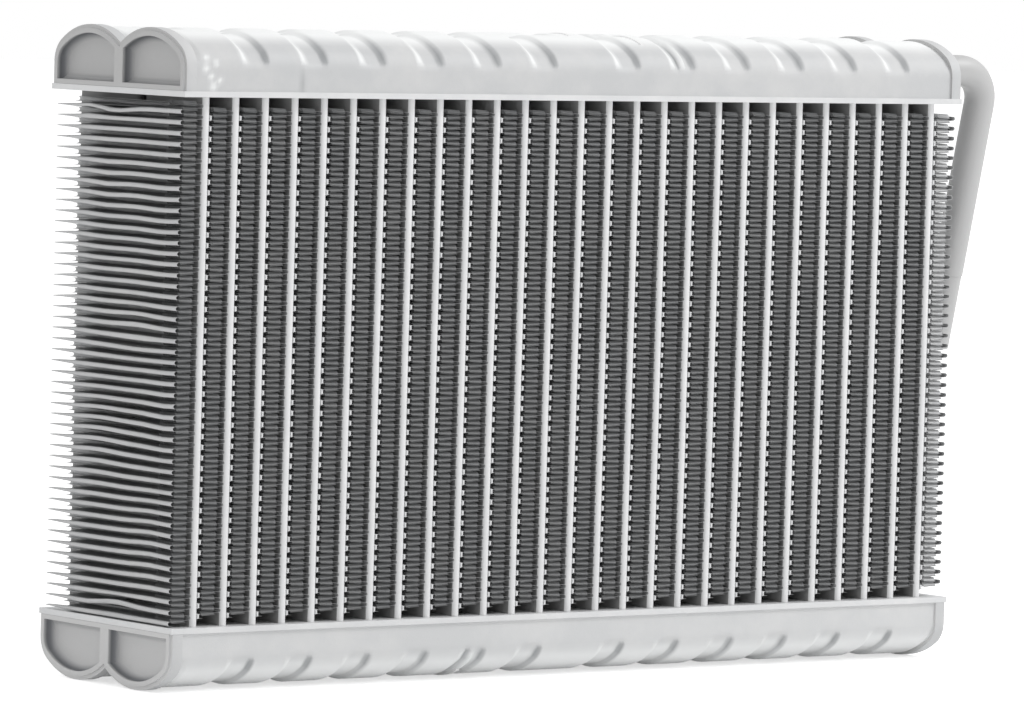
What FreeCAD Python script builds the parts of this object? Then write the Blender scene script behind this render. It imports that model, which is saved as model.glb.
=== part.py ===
import FreeCAD, Part
import math
import os
import Sketcher

# Brazed aluminium evaporator core. Two rows of flat tubes run between a top and a
# bottom tank, with a folded fin in each space between tubes and one outside each end.
# Each tank is a pressed shell of two arched lobes that stands on a slotted header
# plate, closed at both ends by a cap with a cup pressed into each lobe.
#
# X runs along the tanks, Y from the front face to the back, Z up. The origin lies on
# the floor, in the middle of the overall box.

doc = FreeCAD.newDocument("evaporator_core")

DRIVING_SIZES = [
    # tubes and the air window between the header plates
    ("tube_count", 27),
    ("tube_pitch", 8.7),
    ("tube_thickness", 2.0),
    ("tube_width", 25.4),
    ("tube_row_gap", 3.0),
    ("tube_stand", 1.5),
    ("window_height", 127.5),
    # tubes of the first pass and of the second, counted from the left end
    ("first_pass_count", 10),
    ("second_pass_count", 6),
    # header plates
    ("header_thickness", 1.4),
    ("header_lip", 0.6),
    ("slot_clearance", 0.05),
    # tank shells
    ("end_margin", 8.0),
    ("shell_wall", 1.4),
    ("tube_side_clearance", 0.1),
    ("lobe_inset", 1.2),
    ("side_height", 5.4),
    ("arch_rise", 9.0),
    ("shoulder_radius", 6.0),
    ("web_thickness", 2.4),
    # pressed grooves across the arches
    ("groove_count", 12),
    ("tube_count_before_groove", 2),
    ("groove_width", 5.0),
    ("groove_depth", 0.9),
    ("groove_end_angle", 12.0),
    # end caps
    ("cap_thickness", 3.4),
    ("cap_floor", 0.8),
    ("cap_flange", 0.5),
    ("cap_rim", 2.1),
    ("cap_bar", 3.6),
    ("cap_sill", 1.2),
    # folded fins
    ("fin_inset", 0.1),
    ("fin_sheet", 0.25),
    ("fin_end_gap", 2.0),
    ("fin_joint", 0.02),
    ("outer_fin_legs", 96),
    ("inner_fin_legs", 10),
    # partition plates and the window that joins the two rows
    ("partition_thickness", 1.0),
    ("partition_tab", 18.0),
    ("partition_proud", 0.2),
    ("partition_clearance", 0.05),
    ("cross_window_length", 60.0),
    ("cross_window_height", 5.0),
    ("cross_window_start", 12.0),
    # refrigerant pipes
    ("port_height", 8.4),
    ("port_clearance", 0.05),
    ("pipe_seat", 2.0),
    ("inlet_diameter", 8.0),
    ("inlet_bore", 6.0),
    ("inlet_reach", 21.0),
    ("inlet_bend", 9.0),
    ("inlet_drop", 75.0),
    ("inlet_lean_angle", 13.3),
    ("inlet_mitre_count", 3),
    ("inlet_end_length", 20.0),
    ("inlet_end_diameter", 7.6),
    ("outlet_diameter", 10.0),
    ("outlet_root", 9.0),
    ("outlet_bore", 7.6),
    ("outlet_length", 12.0),
]

sheet = doc.addObject("Spreadsheet::Sheet", "Sizes")
for row, (name, value) in enumerate(DRIVING_SIZES, start=1):
    sheet.set(f"A{row}", name.replace("_", " "))
    sheet.set(f"B{row}", str(value))
    sheet.setAlias(f"B{row}", name)
doc.recompute()


def size(name):
    """A driving size, read back from the sheet."""
    return float(sheet.get(name))


def count(name):
    """A driving size that counts things."""
    return int(round(size(name)))


# Worked-out sizes, as expressions on the sheet, so that a change there reaches them.
CORE_LENGTH = "((Sizes.tube_count - 1) * Sizes.tube_pitch + 2 * Sizes.end_margin)"
SHELL_LENGTH = f"({CORE_LENGTH} - 2 * Sizes.cap_thickness)"
BOTH_ROWS = "(Sizes.tube_row_gap + 2 * Sizes.tube_width)"
SHELL_DEPTH = f"({BOTH_ROWS} + 2 * (Sizes.shell_wall + Sizes.tube_side_clearance))"
HEADER_DEPTH = f"({SHELL_DEPTH} + 2 * Sizes.header_lip)"
TUBE_Y = "((Sizes.tube_row_gap + Sizes.tube_width) / 2)"
LOBE_Y = f"({TUBE_Y} - Sizes.lobe_inset)"
LOBE_HALF = f"({SHELL_DEPTH} / 2 - {LOBE_Y})"
SPRING_HEIGHT = "(Sizes.header_thickness + Sizes.side_height)"
CROWN_RADIUS = (
    f"((({LOBE_HALF} - Sizes.shoulder_radius) ^ 2 + Sizes.arch_rise ^ 2 - Sizes.shoulder_radius ^ 2)"
    " / (2 * (Sizes.arch_rise - Sizes.shoulder_radius)))"
)
CROWN_CENTRE = f"({SPRING_HEIGHT} + Sizes.arch_rise - {CROWN_RADIUS})"
TANK_HEIGHT = f"({SPRING_HEIGHT} + Sizes.arch_rise + Sizes.cap_flange)"
PIPE_OVERHANG = "(Sizes.inlet_reach + Sizes.inlet_diameter / 2)"
CORE_X = f"(-{PIPE_OVERHANG} / 2)"
TOP_FACE = f"({TANK_HEIGHT} + Sizes.window_height)"
FIRST_TUBE = "(-(Sizes.tube_count - 1) * Sizes.tube_pitch / 2)"
CUP_DEPTH = "(Sizes.cap_thickness - Sizes.cap_floor)"
PIPE_START = "(Sizes.cap_thickness + Sizes.pipe_seat)"
FIRST_PASS = "Sizes.first_pass_count"
SECOND_PASS = "(Sizes.first_pass_count + Sizes.second_pass_count)"
CROWN_TURN = f"asin(({LOBE_HALF} - Sizes.shoulder_radius) / ({CROWN_RADIUS} - Sizes.shoulder_radius))"


def worked(expression):
    """The number that an expression on the sheet gives now."""
    return float(getattr(sheet.evalExpression(expression), "Value", sheet.evalExpression(expression)))


def lobe_numbers(inset):
    """The arch of one lobe, drawn inside the shell's outside by inset, for a sketch to start from."""
    half = worked(LOBE_HALF) - inset
    shoulder = size("shoulder_radius") - inset
    crown = worked(CROWN_RADIUS) - inset
    turn = math.asin((half - shoulder) / (crown - shoulder))
    return {
        "half": half,
        "shoulder": shoulder,
        "crown": crown,
        "turn": turn,
        "offset": worked(LOBE_Y),
        "spring": worked(SPRING_HEIGHT),
        "centre": worked(CROWN_CENTRE),
    }


def origin_part(body, role):
    """One of a body's own origin planes or axes."""
    return next(f for f in body.Origin.OriginFeatures if f.Role == role)


def new_sketch(body, plane, name):
    sketch = body.newObject("Sketcher::SketchObject", name)
    sketch.AttachmentSupport = [(origin_part(body, plane), "")]
    sketch.MapMode = "FlatFace"
    return sketch


def dimension(sketch, name, kind, *where, to):
    """Adds a named dimension and binds it to an expression on the sheet."""
    index = sketch.addConstraint(Sketcher.Constraint(kind, *where, worked(to)))
    sketch.renameConstraint(index, name)
    sketch.setExpression(f"Constraints.{name}", to)


def polygon(sketch, points):
    """A closed chain of lines; the first line's number is returned."""
    first = sketch.GeometryCount
    for k, (x, y) in enumerate(points):
        end = points[(k + 1) % len(points)]
        sketch.addGeometry(Part.LineSegment(FreeCAD.Vector(x, y, 0), FreeCAD.Vector(*end, 0)), False)
    for k in range(len(points)):
        after = first + (k + 1) % len(points)
        sketch.addConstraint(Sketcher.Constraint("Coincident", first + k, 2, after, 1))
    return first


def rectangle(sketch, label, left, low, wide, high):
    """A rectangle placed by its lower left corner; all four are expressions."""
    x, y, w, h = (worked(e) for e in (left, low, wide, high))
    first = polygon(sketch, [(x, y), (x + w, y), (x + w, y + h), (x, y + h)])
    for edge, way in enumerate(("Horizontal", "Vertical", "Horizontal", "Vertical")):
        sketch.addConstraint(Sketcher.Constraint(way, first + edge))
    dimension(sketch, f"{label}_left", "DistanceX", -1, 1, first, 1, to=left)
    dimension(sketch, f"{label}_low", "DistanceY", -1, 1, first, 1, to=low)
    dimension(sketch, f"{label}_wide", "DistanceX", first, 1, first, 2, to=wide)
    dimension(sketch, f"{label}_high", "DistanceY", first + 1, 1, first + 1, 2, to=high)


def circle(sketch, label, across, up, diameter):
    """A circle placed by its centre; all three are expressions."""
    centre = FreeCAD.Vector(worked(across), worked(up), 0)
    number = sketch.addGeometry(Part.Circle(centre, FreeCAD.Vector(0, 0, 1), worked(diameter) / 2), False)
    dimension(sketch, f"{label}_across", "DistanceX", -1, 1, number, 3, to=across)
    dimension(sketch, f"{label}_up", "DistanceY", -1, 1, number, 3, to=up)
    dimension(sketch, f"{label}_size", "Diameter", number, to=diameter)


def arc(sketch, centre, radius, start, end):
    full = Part.Circle(FreeCAD.Vector(*centre, 0), FreeCAD.Vector(0, 0, 1), radius)
    return sketch.addGeometry(Part.ArcOfCircle(full, start, end), False)


def line(sketch, start, end):
    return sketch.addGeometry(Part.LineSegment(FreeCAD.Vector(*start, 0), FreeCAD.Vector(*end, 0)), False)


def join(sketch, kind, *pairs):
    for one, end_one, two, end_two in pairs:
        sketch.addConstraint(Sketcher.Constraint(kind, one, end_one, two, end_two))


def twin_arch(sketch, label, inset, base):
    """The outline of both lobes: side, shoulder and crown, the cusp, and the same again.

    inset and base are expressions: how far inside the shell's outside it lies, and the
    height of its flat bottom.
    """
    n = lobe_numbers(worked(inset))
    low = worked(base)
    edge = n["offset"] + n["half"]
    side_arc = edge - n["shoulder"]
    lean = math.acos(n["offset"] / n["crown"])
    quarter = math.pi / 2
    left = line(sketch, (-edge, low), (-edge, n["spring"]))
    left_shoulder = arc(sketch, (-side_arc, n["spring"]), n["shoulder"], quarter + n["turn"], math.pi)
    left_crown = arc(sketch, (-n["offset"], n["centre"]), n["crown"], lean, quarter + n["turn"])
    right_crown = arc(sketch, (n["offset"], n["centre"]), n["crown"], quarter - n["turn"], math.pi - lean)
    right_shoulder = arc(sketch, (side_arc, n["spring"]), n["shoulder"], 0, quarter - n["turn"])
    right = line(sketch, (edge, n["spring"]), (edge, low))
    bottom = line(sketch, (edge, low), (-edge, low))
    join(sketch, "Tangent", (left, 2, left_shoulder, 2), (left_shoulder, 1, left_crown, 2))
    join(sketch, "Tangent", (right_crown, 1, right_shoulder, 2), (right_shoulder, 1, right, 1))
    join(sketch, "Coincident", (left_crown, 1, right_crown, 2), (right, 2, bottom, 1), (bottom, 2, left, 1))
    sketch.addConstraint(Sketcher.Constraint("Vertical", left))
    sketch.addConstraint(Sketcher.Constraint("Vertical", right))
    sketch.addConstraint(Sketcher.Constraint("Symmetric", left, 1, right, 2, -2))
    sketch.addConstraint(Sketcher.Constraint("Symmetric", left_crown, 3, right_crown, 3, -2))
    sketch.addConstraint(Sketcher.Constraint("Equal", left_shoulder, right_shoulder))
    sketch.addConstraint(Sketcher.Constraint("Equal", left_crown, right_crown))
    dimension(sketch, f"{label}_edge", "DistanceX", left, 1, -1, 1, to=f"{SHELL_DEPTH} / 2 - ({inset})")
    dimension(sketch, f"{label}_base", "DistanceY", -1, 1, left, 1, to=base)
    dimension(sketch, f"{label}_spring", "DistanceY", -1, 1, left, 2, to=SPRING_HEIGHT)
    dimension(sketch, f"{label}_shoulder", "Radius", left_shoulder, to=f"Sizes.shoulder_radius - ({inset})")
    dimension(sketch, f"{label}_crown", "Radius", left_crown, to=f"{CROWN_RADIUS} - ({inset})")
    dimension(sketch, f"{label}_lobe", "DistanceX", left_crown, 3, -1, 1, to=LOBE_Y)


def single_arch(sketch, label, side, inset, base, web):
    """The outline of the space inside one lobe. side is -1 for the front lobe, 1 for the back one."""
    n = lobe_numbers(worked(inset))
    low = worked(base)
    inner = worked(web)
    edge = n["offset"] + n["half"]
    side_arc = edge - n["shoulder"]
    top = n["centre"] + math.sqrt(n["crown"] ** 2 - (n["offset"] - inner) ** 2)
    lean = math.acos((n["offset"] - inner) / n["crown"])
    quarter = math.pi / 2
    outer = line(sketch, (side * edge, low), (side * edge, n["spring"]))
    if side < 0:
        shoulder = arc(sketch, (-side_arc, n["spring"]), n["shoulder"], quarter + n["turn"], math.pi)
        crown = arc(sketch, (-n["offset"], n["centre"]), n["crown"], lean, quarter + n["turn"])
        near, far = 2, 1
    else:
        shoulder = arc(sketch, (side_arc, n["spring"]), n["shoulder"], 0, quarter - n["turn"])
        crown = arc(sketch, (n["offset"], n["centre"]), n["crown"], quarter - n["turn"], math.pi - lean)
        near, far = 1, 2
    wall = line(sketch, (side * inner, top), (side * inner, low))
    bottom = line(sketch, (side * inner, low), (side * edge, low))
    join(sketch, "Tangent", (outer, 2, shoulder, near), (shoulder, far, crown, near))
    join(sketch, "Coincident", (crown, far, wall, 1), (wall, 2, bottom, 1), (bottom, 2, outer, 1))
    sketch.addConstraint(Sketcher.Constraint("Vertical", outer))
    sketch.addConstraint(Sketcher.Constraint("Vertical", wall))
    sketch.addConstraint(Sketcher.Constraint("Horizontal", bottom))
    ends = (outer, 1, -1, 1) if side < 0 else (-1, 1, outer, 1)
    dimension(sketch, f"{label}_edge", "DistanceX", *ends, to=f"{SHELL_DEPTH} / 2 - ({inset})")
    dimension(sketch, f"{label}_base", "DistanceY", -1, 1, outer, 1, to=base)
    dimension(sketch, f"{label}_spring", "DistanceY", -1, 1, outer, 2, to=SPRING_HEIGHT)
    dimension(sketch, f"{label}_shoulder", "Radius", shoulder, to=f"Sizes.shoulder_radius - ({inset})")
    dimension(sketch, f"{label}_crown", "Radius", crown, to=f"{CROWN_RADIUS} - ({inset})")
    ends = (wall, 2, -1, 1) if side < 0 else (-1, 1, wall, 2)
    dimension(sketch, f"{label}_web", "DistanceX", *ends, to=web)


def new_body(name):
    body = doc.addObject("PartDesign::Body", name)
    body.Label = name
    return body


def pad(body, sketch, name, length, back=None):
    """Adds what the sketch outlines; back is a second length, the other way."""
    feature = body.newObject("PartDesign::Pad", name)
    feature.Profile = sketch
    feature.setExpression("Length", length)
    if back:
        feature.SideType = "Two sides"
        feature.setExpression("Length2", back)
    return feature


def pocket(body, sketch, name, length, back=None):
    """Cuts what the sketch outlines along the plane's own direction, and back the other way."""
    feature = body.newObject("PartDesign::Pocket", name)
    feature.Profile = sketch
    feature.Reversed = True
    feature.setExpression("Length", length)
    if back:
        feature.SideType = "Two sides"
        feature.setExpression("Length2", back)
    return feature


def row_along_x(body, originals, name, step, number):
    """Repeats features along X and makes the pattern the body's tip."""
    pattern = body.newObject("PartDesign::LinearPattern", name)
    pattern.Originals = originals
    pattern.Direction = (origin_part(body, "X_Axis"), [""])
    pattern.Mode = "Spacing"
    pattern.setExpression("Offset", step)
    pattern.Occurrences = number
    body.Tip = pattern
    return pattern


def place(part, x=CORE_X, y="0", z="0", axis=None, angle=180):
    """Turns a sub-part about one of the frame's axes and puts it in its place."""
    if axis:
        part.Placement.Rotation = FreeCAD.Rotation(FreeCAD.Vector(*axis), angle)
    for way, expression in (("x", x), ("y", y), ("z", z)):
        part.setExpression(f"Placement.Base.{way}", expression)


X_AXIS, Y_AXIS, Z_AXIS = (1, 0, 0), (0, 1, 0), (0, 0, 1)
subparts = []


def finish(part):
    subparts.append(part)
    return part


def header_plate(name):
    """A flat plate with a slot for each flat tube. Its lower face is the air window's edge."""
    body = new_body(name)
    outline = new_sketch(body, "XY_Plane", f"{name}_outline")
    rectangle(outline, "plate", f"-{CORE_LENGTH} / 2", f"-{HEADER_DEPTH} / 2", CORE_LENGTH, HEADER_DEPTH)
    pad(body, outline, f"{name}_plate", "Sizes.header_thickness")
    slots = new_sketch(body, "XY_Plane", f"{name}_slots")
    left = f"{FIRST_TUBE} - Sizes.tube_thickness / 2 - Sizes.slot_clearance"
    wide = "Sizes.tube_thickness + 2 * Sizes.slot_clearance"
    high = "Sizes.tube_width + 2 * Sizes.slot_clearance"
    near = "Sizes.tube_row_gap / 2 - Sizes.slot_clearance"
    rectangle(slots, "front", left, f"-({near} + {high})", wide, high)
    rectangle(slots, "back", left, near, wide, high)
    cut = pocket(body, slots, f"{name}_slot_pair", "Sizes.header_thickness")
    row_along_x(body, [cut], f"{name}_slot_row", "Sizes.tube_pitch", count("tube_count"))
    return finish(body)


def groove_ring(body, name, side):
    """One pressed groove over a lobe's crown: a V turned about the crown's own centre line.

    It runs from a little past the crown's top out to where the shoulder begins.
    """
    profile = new_sketch(body, "XZ_Plane", f"{name}_section")
    first = f"{FIRST_TUBE} + (Sizes.tube_count_before_groove - 0.5) * Sizes.tube_pitch"
    profile.setExpression("AttachmentOffset.Base.x", first)
    profile.setExpression("AttachmentOffset.Base.y", CROWN_CENTRE)
    profile.setExpression("AttachmentOffset.Base.z", f"{-side} * {LOBE_Y}")
    root = f"{CROWN_RADIUS} - Sizes.groove_depth"
    rim = f"{CROWN_RADIUS} + Sizes.groove_depth"
    low, high, half = worked(root), worked(rim), size("groove_width")
    edge = polygon(profile, [(0, low), (half, high), (-half, high)])
    profile.addConstraint(Sketcher.Constraint("PointOnObject", edge, 1, -2))
    profile.addConstraint(Sketcher.Constraint("Symmetric", edge + 1, 1, edge + 1, 2, -2))
    dimension(profile, "root", "DistanceY", -1, 1, edge, 1, to=root)
    dimension(profile, "rim", "DistanceY", -1, 1, edge + 1, 1, to=rim)
    dimension(profile, "broad", "DistanceX", edge + 1, 2, edge + 1, 1, to="2 * Sizes.groove_width")
    cut = body.newObject("PartDesign::Groove", name)
    cut.Profile = profile
    cut.ReferenceAxis = (profile, ["H_Axis"])
    cut.Type = "TwoAngles"
    inward = "Sizes.groove_end_angle * 1 deg"
    cut.setExpression("Angle", CROWN_TURN if side < 0 else inward)
    cut.setExpression("Angle2", inward if side < 0 else CROWN_TURN)
    return cut


def tank_shell(name, tubes_before, cross_window):
    """A sheet pressed into two lobes that meet in a web, open towards the header plate."""
    body = new_body(name)
    section = new_sketch(body, "YZ_Plane", f"{name}_section")
    twin_arch(section, "shell", "0", "Sizes.header_thickness")
    half = f"{SHELL_LENGTH} / 2"
    pad(body, section, f"{name}_block", half, back=half)
    rooms = new_sketch(body, "YZ_Plane", f"{name}_rooms")
    base, web = "Sizes.header_thickness", "Sizes.web_thickness / 2"
    for side, label in ((-1, "front"), (1, "back")):
        single_arch(rooms, label, side, "Sizes.shell_wall", base, web)
    pocket(body, rooms, f"{name}_hollow", half, back=half)
    grooves = [groove_ring(body, f"{name}_groove_front", -1), groove_ring(body, f"{name}_groove_back", 1)]
    row_along_x(body, grooves, f"{name}_groove_row", "2 * Sizes.tube_pitch", count("groove_count"))
    slits = new_sketch(body, "XY_Plane", f"{name}_slits")
    wide = "Sizes.partition_thickness + 2 * Sizes.partition_clearance"
    high = "Sizes.partition_tab + 2 * Sizes.partition_clearance"
    left = f"{partition_x(tubes_before)} - ({wide}) / 2"
    rectangle(slits, "front", left, f"-{LOBE_Y} - ({high}) / 2", wide, high)
    rectangle(slits, "back", left, f"{LOBE_Y} - ({high}) / 2", wide, high)
    pocket(body, slits, f"{name}_slit_pair", TANK_HEIGHT)
    if cross_window:
        opening = new_sketch(body, "XZ_Plane", f"{name}_cross_window")
        rectangle(
            opening,
            "window",
            f"-{SHELL_LENGTH} / 2 + Sizes.cross_window_start",
            SPRING_HEIGHT + " - Sizes.cross_window_height / 2",
            "Sizes.cross_window_length",
            "Sizes.cross_window_height",
        )
        reach = "Sizes.web_thickness"
        pocket(body, opening, f"{name}_cross_cut", reach, back=reach)
    return finish(body)


def partition_x(tubes_before):
    """Half way between a tube and the next one, measured from the core's middle."""
    return f"({FIRST_TUBE} + ({tubes_before} - 0.5) * Sizes.tube_pitch)"


def partition(name, side):
    """A plate across one lobe, with a tab that fills the slit in the shell's arch."""
    body = new_body(name)
    blade = new_sketch(body, "YZ_Plane", f"{name}_blade")
    fit = "Sizes.shell_wall + Sizes.partition_clearance"
    base = "Sizes.header_thickness"
    single_arch(blade, "blade", side, fit, base, "Sizes.web_thickness / 2 + Sizes.partition_clearance")
    half = "Sizes.partition_thickness / 2"
    pad(body, blade, f"{name}_plate", half, back=half)
    tab = new_sketch(body, "YZ_Plane", f"{name}_tab")
    middle = side * worked(LOBE_Y)
    reach = size("partition_tab") / 2
    radius = worked(CROWN_RADIUS) + size("partition_proud")
    centre = worked(CROWN_CENTRE)
    low = worked(SPRING_HEIGHT)
    top = centre + math.sqrt(radius ** 2 - reach ** 2)
    swing = math.asin(reach / radius)
    near = line(tab, (middle - reach, top), (middle - reach, low))
    bottom = line(tab, (middle - reach, low), (middle + reach, low))
    far = line(tab, (middle + reach, low), (middle + reach, top))
    crown = arc(tab, (middle, centre), radius, math.pi / 2 - swing, math.pi / 2 + swing)
    join(tab, "Coincident", (near, 2, bottom, 1), (bottom, 2, far, 1))
    join(tab, "Coincident", (far, 2, crown, 1), (crown, 2, near, 1))
    for edge, way in ((near, "Vertical"), (bottom, "Horizontal"), (far, "Vertical")):
        tab.addConstraint(Sketcher.Constraint(way, edge))
    ends = (crown, 3, -1, 1) if side < 0 else (-1, 1, crown, 3)
    dimension(tab, "lobe", "DistanceX", *ends, to=LOBE_Y)
    dimension(tab, "centre", "DistanceY", crown, 3, -1, 1, to=f"-{CROWN_CENTRE}")
    dimension(tab, "radius", "Radius", crown, to=f"{CROWN_RADIUS} + Sizes.partition_proud")
    dimension(tab, "wide", "DistanceX", bottom, 1, bottom, 2, to="Sizes.partition_tab")
    dimension(tab, "half", "DistanceX", bottom, 1, crown, 3, to="Sizes.partition_tab / 2")
    dimension(tab, "low", "DistanceY", -1, 1, bottom, 1, to=SPRING_HEIGHT)
    pad(body, tab, f"{name}_lip", half, back=half)
    return finish(body)


def end_cap(name, ports=()):
    """A cap on a tank's end. Its outer face is at X 0 and its body reaches inwards along X.

    It stands proud of the shell all round, and a cup is pressed into each lobe. ports lists
    (lobe side, label, diameter) for the pipes that pass through a cup's floor.
    """
    body = new_body(name)
    face = new_sketch(body, "YZ_Plane", f"{name}_face")
    twin_arch(face, "cap", "-Sizes.cap_flange", "Sizes.header_thickness")
    pad(body, face, f"{name}_blank", "Sizes.cap_thickness")
    cups = new_sketch(body, "YZ_Plane", f"{name}_cups")
    base = "Sizes.header_thickness + Sizes.cap_sill"
    for side, label in ((-1, "front"), (1, "back")):
        single_arch(cups, label, side, "(Sizes.cap_rim - Sizes.cap_flange)", base, "Sizes.cap_bar / 2")
    pocket(body, cups, f"{name}_cup_pair", CUP_DEPTH)
    if ports:
        holes = new_sketch(body, "YZ_Plane", f"{name}_holes")
        for side, label, diameter in ports:
            hole = f"{diameter} + 2 * Sizes.port_clearance"
            circle(holes, label, f"{side} * {LOBE_Y}", "Sizes.port_height", hole)
        pocket(body, holes, f"{name}_ports", "Sizes.cap_thickness")
    return finish(body)


def fold_outline(name, legs):
    """The edge of a pleated strip that climbs in Z and touches a tube at every crest.

    The strip's thickness is measured square to a leg; across X it is wider by the
    leg's slope, which is what the two chains of crests are set apart by.
    """
    half = (size("tube_pitch") - size("tube_thickness")) / 2 - size("fin_joint")
    rise = (size("window_height") - 2 * size("fin_end_gap")) / legs
    thick = size("fin_sheet")
    slant = rise * math.sqrt(rise ** 2 + 4 * half ** 2 - thick ** 2)
    across = thick * (slant - 2 * half * thick) / (rise ** 2 - thick ** 2)
    outer, inner = [], []
    for k in range(legs + 1):
        height = k * rise
        if k % 2:
            outer.append(FreeCAD.Vector(half, 0, height))
            inner.append(FreeCAD.Vector(half - across, 0, height))
        else:
            outer.append(FreeCAD.Vector(-half + across, 0, height))
            inner.append(FreeCAD.Vector(-half, 0, height))
    outline = doc.addObject("Part::Feature", name)
    outline.Shape = Part.makePolygon(outer + inner[::-1] + outer[:1])
    return outline


def extrusion(name, outline, way, length, symmetric):
    solid = doc.addObject("Part::Extrusion", name)
    solid.Base = outline
    solid.DirMode = "Custom"
    solid.Dir = FreeCAD.Vector(*way)
    solid.Solid = True
    solid.Symmetric = symmetric
    solid.setExpression("LengthFwd", length)
    return solid


def fins():
    """One pleated fin in each space between tubes, and one outside each end tube."""
    outer = fold_outline("outer_fold", count("outer_fin_legs"))
    inner = fold_outline("inner_fold", count("inner_fin_legs"))
    last = count("tube_count") + 1
    for k in range(1, last + 1):
        outline = outer if k in (1, last) else inner
        name = f"fin_{k:02d}"
        fin = extrusion(name, outline, Y_AXIS, f"{BOTH_ROWS} - 2 * Sizes.fin_inset", True)
        fin.Label = name
        x = f"{CORE_X} + {FIRST_TUBE} + {k - 1.5} * Sizes.tube_pitch"
        place(fin, x, "0", f"{TANK_HEIGHT} + Sizes.fin_end_gap")
        finish(fin)


def tube_section():
    """A flat tube seen from its end."""
    sketch = doc.addObject("Sketcher::SketchObject", "tube_section")
    corner = "-Sizes.tube_thickness / 2", "-Sizes.tube_width / 2"
    rectangle(sketch, "tube", *corner, "Sizes.tube_thickness", "Sizes.tube_width")
    return sketch


def tubes():
    """Flat tubes in two rows. Each pass of each row is one node that holds separate tubes."""
    section = tube_section()
    length = "Sizes.window_height + 2 * (Sizes.header_thickness + Sizes.tube_stand)"
    first_pass = count("first_pass_count")
    second_pass = first_pass + count("second_pass_count")
    starts = [1, first_pass + 1, second_pass + 1]
    ends = [first_pass, second_pass, count("tube_count")]
    for row, side in (("front", "-1"), ("back", "1")):
        for number, (start, end) in enumerate(zip(starts, ends), start=1):
            name = f"{row}_tubes_pass_{number}"
            group = []
            for k in range(start, end + 1):
                tube = extrusion(f"{row}_tube_{k:02d}", section, Z_AXIS, length, False)
                x = f"{FIRST_TUBE} + {k - 1} * Sizes.tube_pitch"
                place(tube, x, f"{side} * {TUBE_Y}", "0")
                group.append(tube)
            bundle = doc.addObject("Part::Compound", name)
            bundle.Label = name
            bundle.Links = group
            place(bundle, z=f"{TANK_HEIGHT} - Sizes.header_thickness - Sizes.tube_stand")
            finish(bundle)


def pipe_ring(sketch, outside, inside):
    """A pipe's section, drawn round the sketch's origin."""
    circle(sketch, "outside", "0", "0", outside)
    circle(sketch, "inside", "0", "0", inside)


def inlet_pipe(name):
    """A bent pipe out of the front lobe. Its origin is on the port's axis, at the cap's outer face.

    The elbow is a run of short mitred lengths about the bend's centre, and the last
    stretch of the pipe is sized for the socket that goes over it.
    """
    body = new_body(name)
    route = new_sketch(body, "XZ_Plane", f"{name}_route")
    mitres = count("inlet_mitre_count")
    reach, bend = size("inlet_reach"), size("inlet_bend")
    leg_end = "(Sizes.inlet_drop - Sizes.inlet_end_length)"
    step = math.pi / 2 / mitres
    corner = bend / math.cos(step / 2)
    points = [(-worked(PIPE_START), 0)]
    for k in range(mitres):
        turn = (k + 0.5) * step
        points.append((reach - bend + corner * math.sin(turn), -bend + corner * math.cos(turn)))
    points.append((reach, -worked(leg_end)))
    runs = [line(route, one, two) for one, two in zip(points, points[1:])]
    join(route, "Coincident", *((one, 2, two, 1) for one, two in zip(runs, runs[1:])))
    route.addConstraint(Sketcher.Constraint("PointOnObject", runs[0], 1, -1))
    route.addConstraint(Sketcher.Constraint("Horizontal", runs[0]))
    route.addConstraint(Sketcher.Constraint("Vertical", runs[-1]))
    dimension(route, "start", "DistanceX", runs[0], 1, -1, 1, to=PIPE_START)
    dimension(route, "drop", "DistanceY", runs[-1], 2, -1, 1, to=leg_end)
    for k in range(mitres):
        turn = f"({k} + 0.5) * 90 deg / Sizes.inlet_mitre_count"
        corner = "Sizes.inlet_bend / cos(45 deg / Sizes.inlet_mitre_count)"
        across = f"Sizes.inlet_reach - Sizes.inlet_bend + {corner} * sin({turn})"
        dimension(route, f"across_{k}", "DistanceX", -1, 1, runs[k], 2, to=across)
        if 0 < k:
            down = f"Sizes.inlet_bend - {corner} * cos({turn})"
            dimension(route, f"down_{k}", "DistanceY", runs[k], 2, -1, 1, to=down)
    ring = new_sketch(body, "YZ_Plane", f"{name}_ring")
    ring.setExpression("AttachmentOffset.Base.z", f"-{PIPE_START}")
    pipe_ring(ring, "Sizes.inlet_diameter", "Sizes.inlet_bore")
    sweep = body.newObject("PartDesign::AdditivePipe", f"{name}_sweep")
    sweep.Profile = ring
    sweep.Spine = (route, [f"Edge{k + 1}" for k in range(len(runs))])
    sweep.Transition = "Right corner"
    tip = new_sketch(body, "XY_Plane", f"{name}_tip_ring")
    tip.setExpression("AttachmentOffset.Base.x", "Sizes.inlet_reach")
    tip.setExpression("AttachmentOffset.Base.z", f"-{leg_end}")
    pipe_ring(tip, "Sizes.inlet_end_diameter", "Sizes.inlet_bore")
    end = pad(body, tip, f"{name}_tip", "Sizes.inlet_end_length")
    end.Reversed = True
    return finish(body)


def outlet_stub(name):
    """A straight spigot out of the back lobe, with its origin as the inlet's.

    Its root passes through the cap, and its shoulder stands on the cup's floor.
    """
    body = new_body(name)
    root = new_sketch(body, "YZ_Plane", f"{name}_root_ring")
    root.setExpression("AttachmentOffset.Base.z", f"-{CUP_DEPTH}")
    pipe_ring(root, "Sizes.outlet_root", "Sizes.outlet_bore")
    seat = pad(body, root, f"{name}_root", f"{PIPE_START} - {CUP_DEPTH}")
    seat.Reversed = True
    land = new_sketch(body, "YZ_Plane", f"{name}_land_ring")
    pipe_ring(land, "Sizes.outlet_diameter", "Sizes.outlet_bore")
    pad(body, land, f"{name}_land", "Sizes.outlet_length", back=CUP_DEPTH)
    return finish(body)


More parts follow.
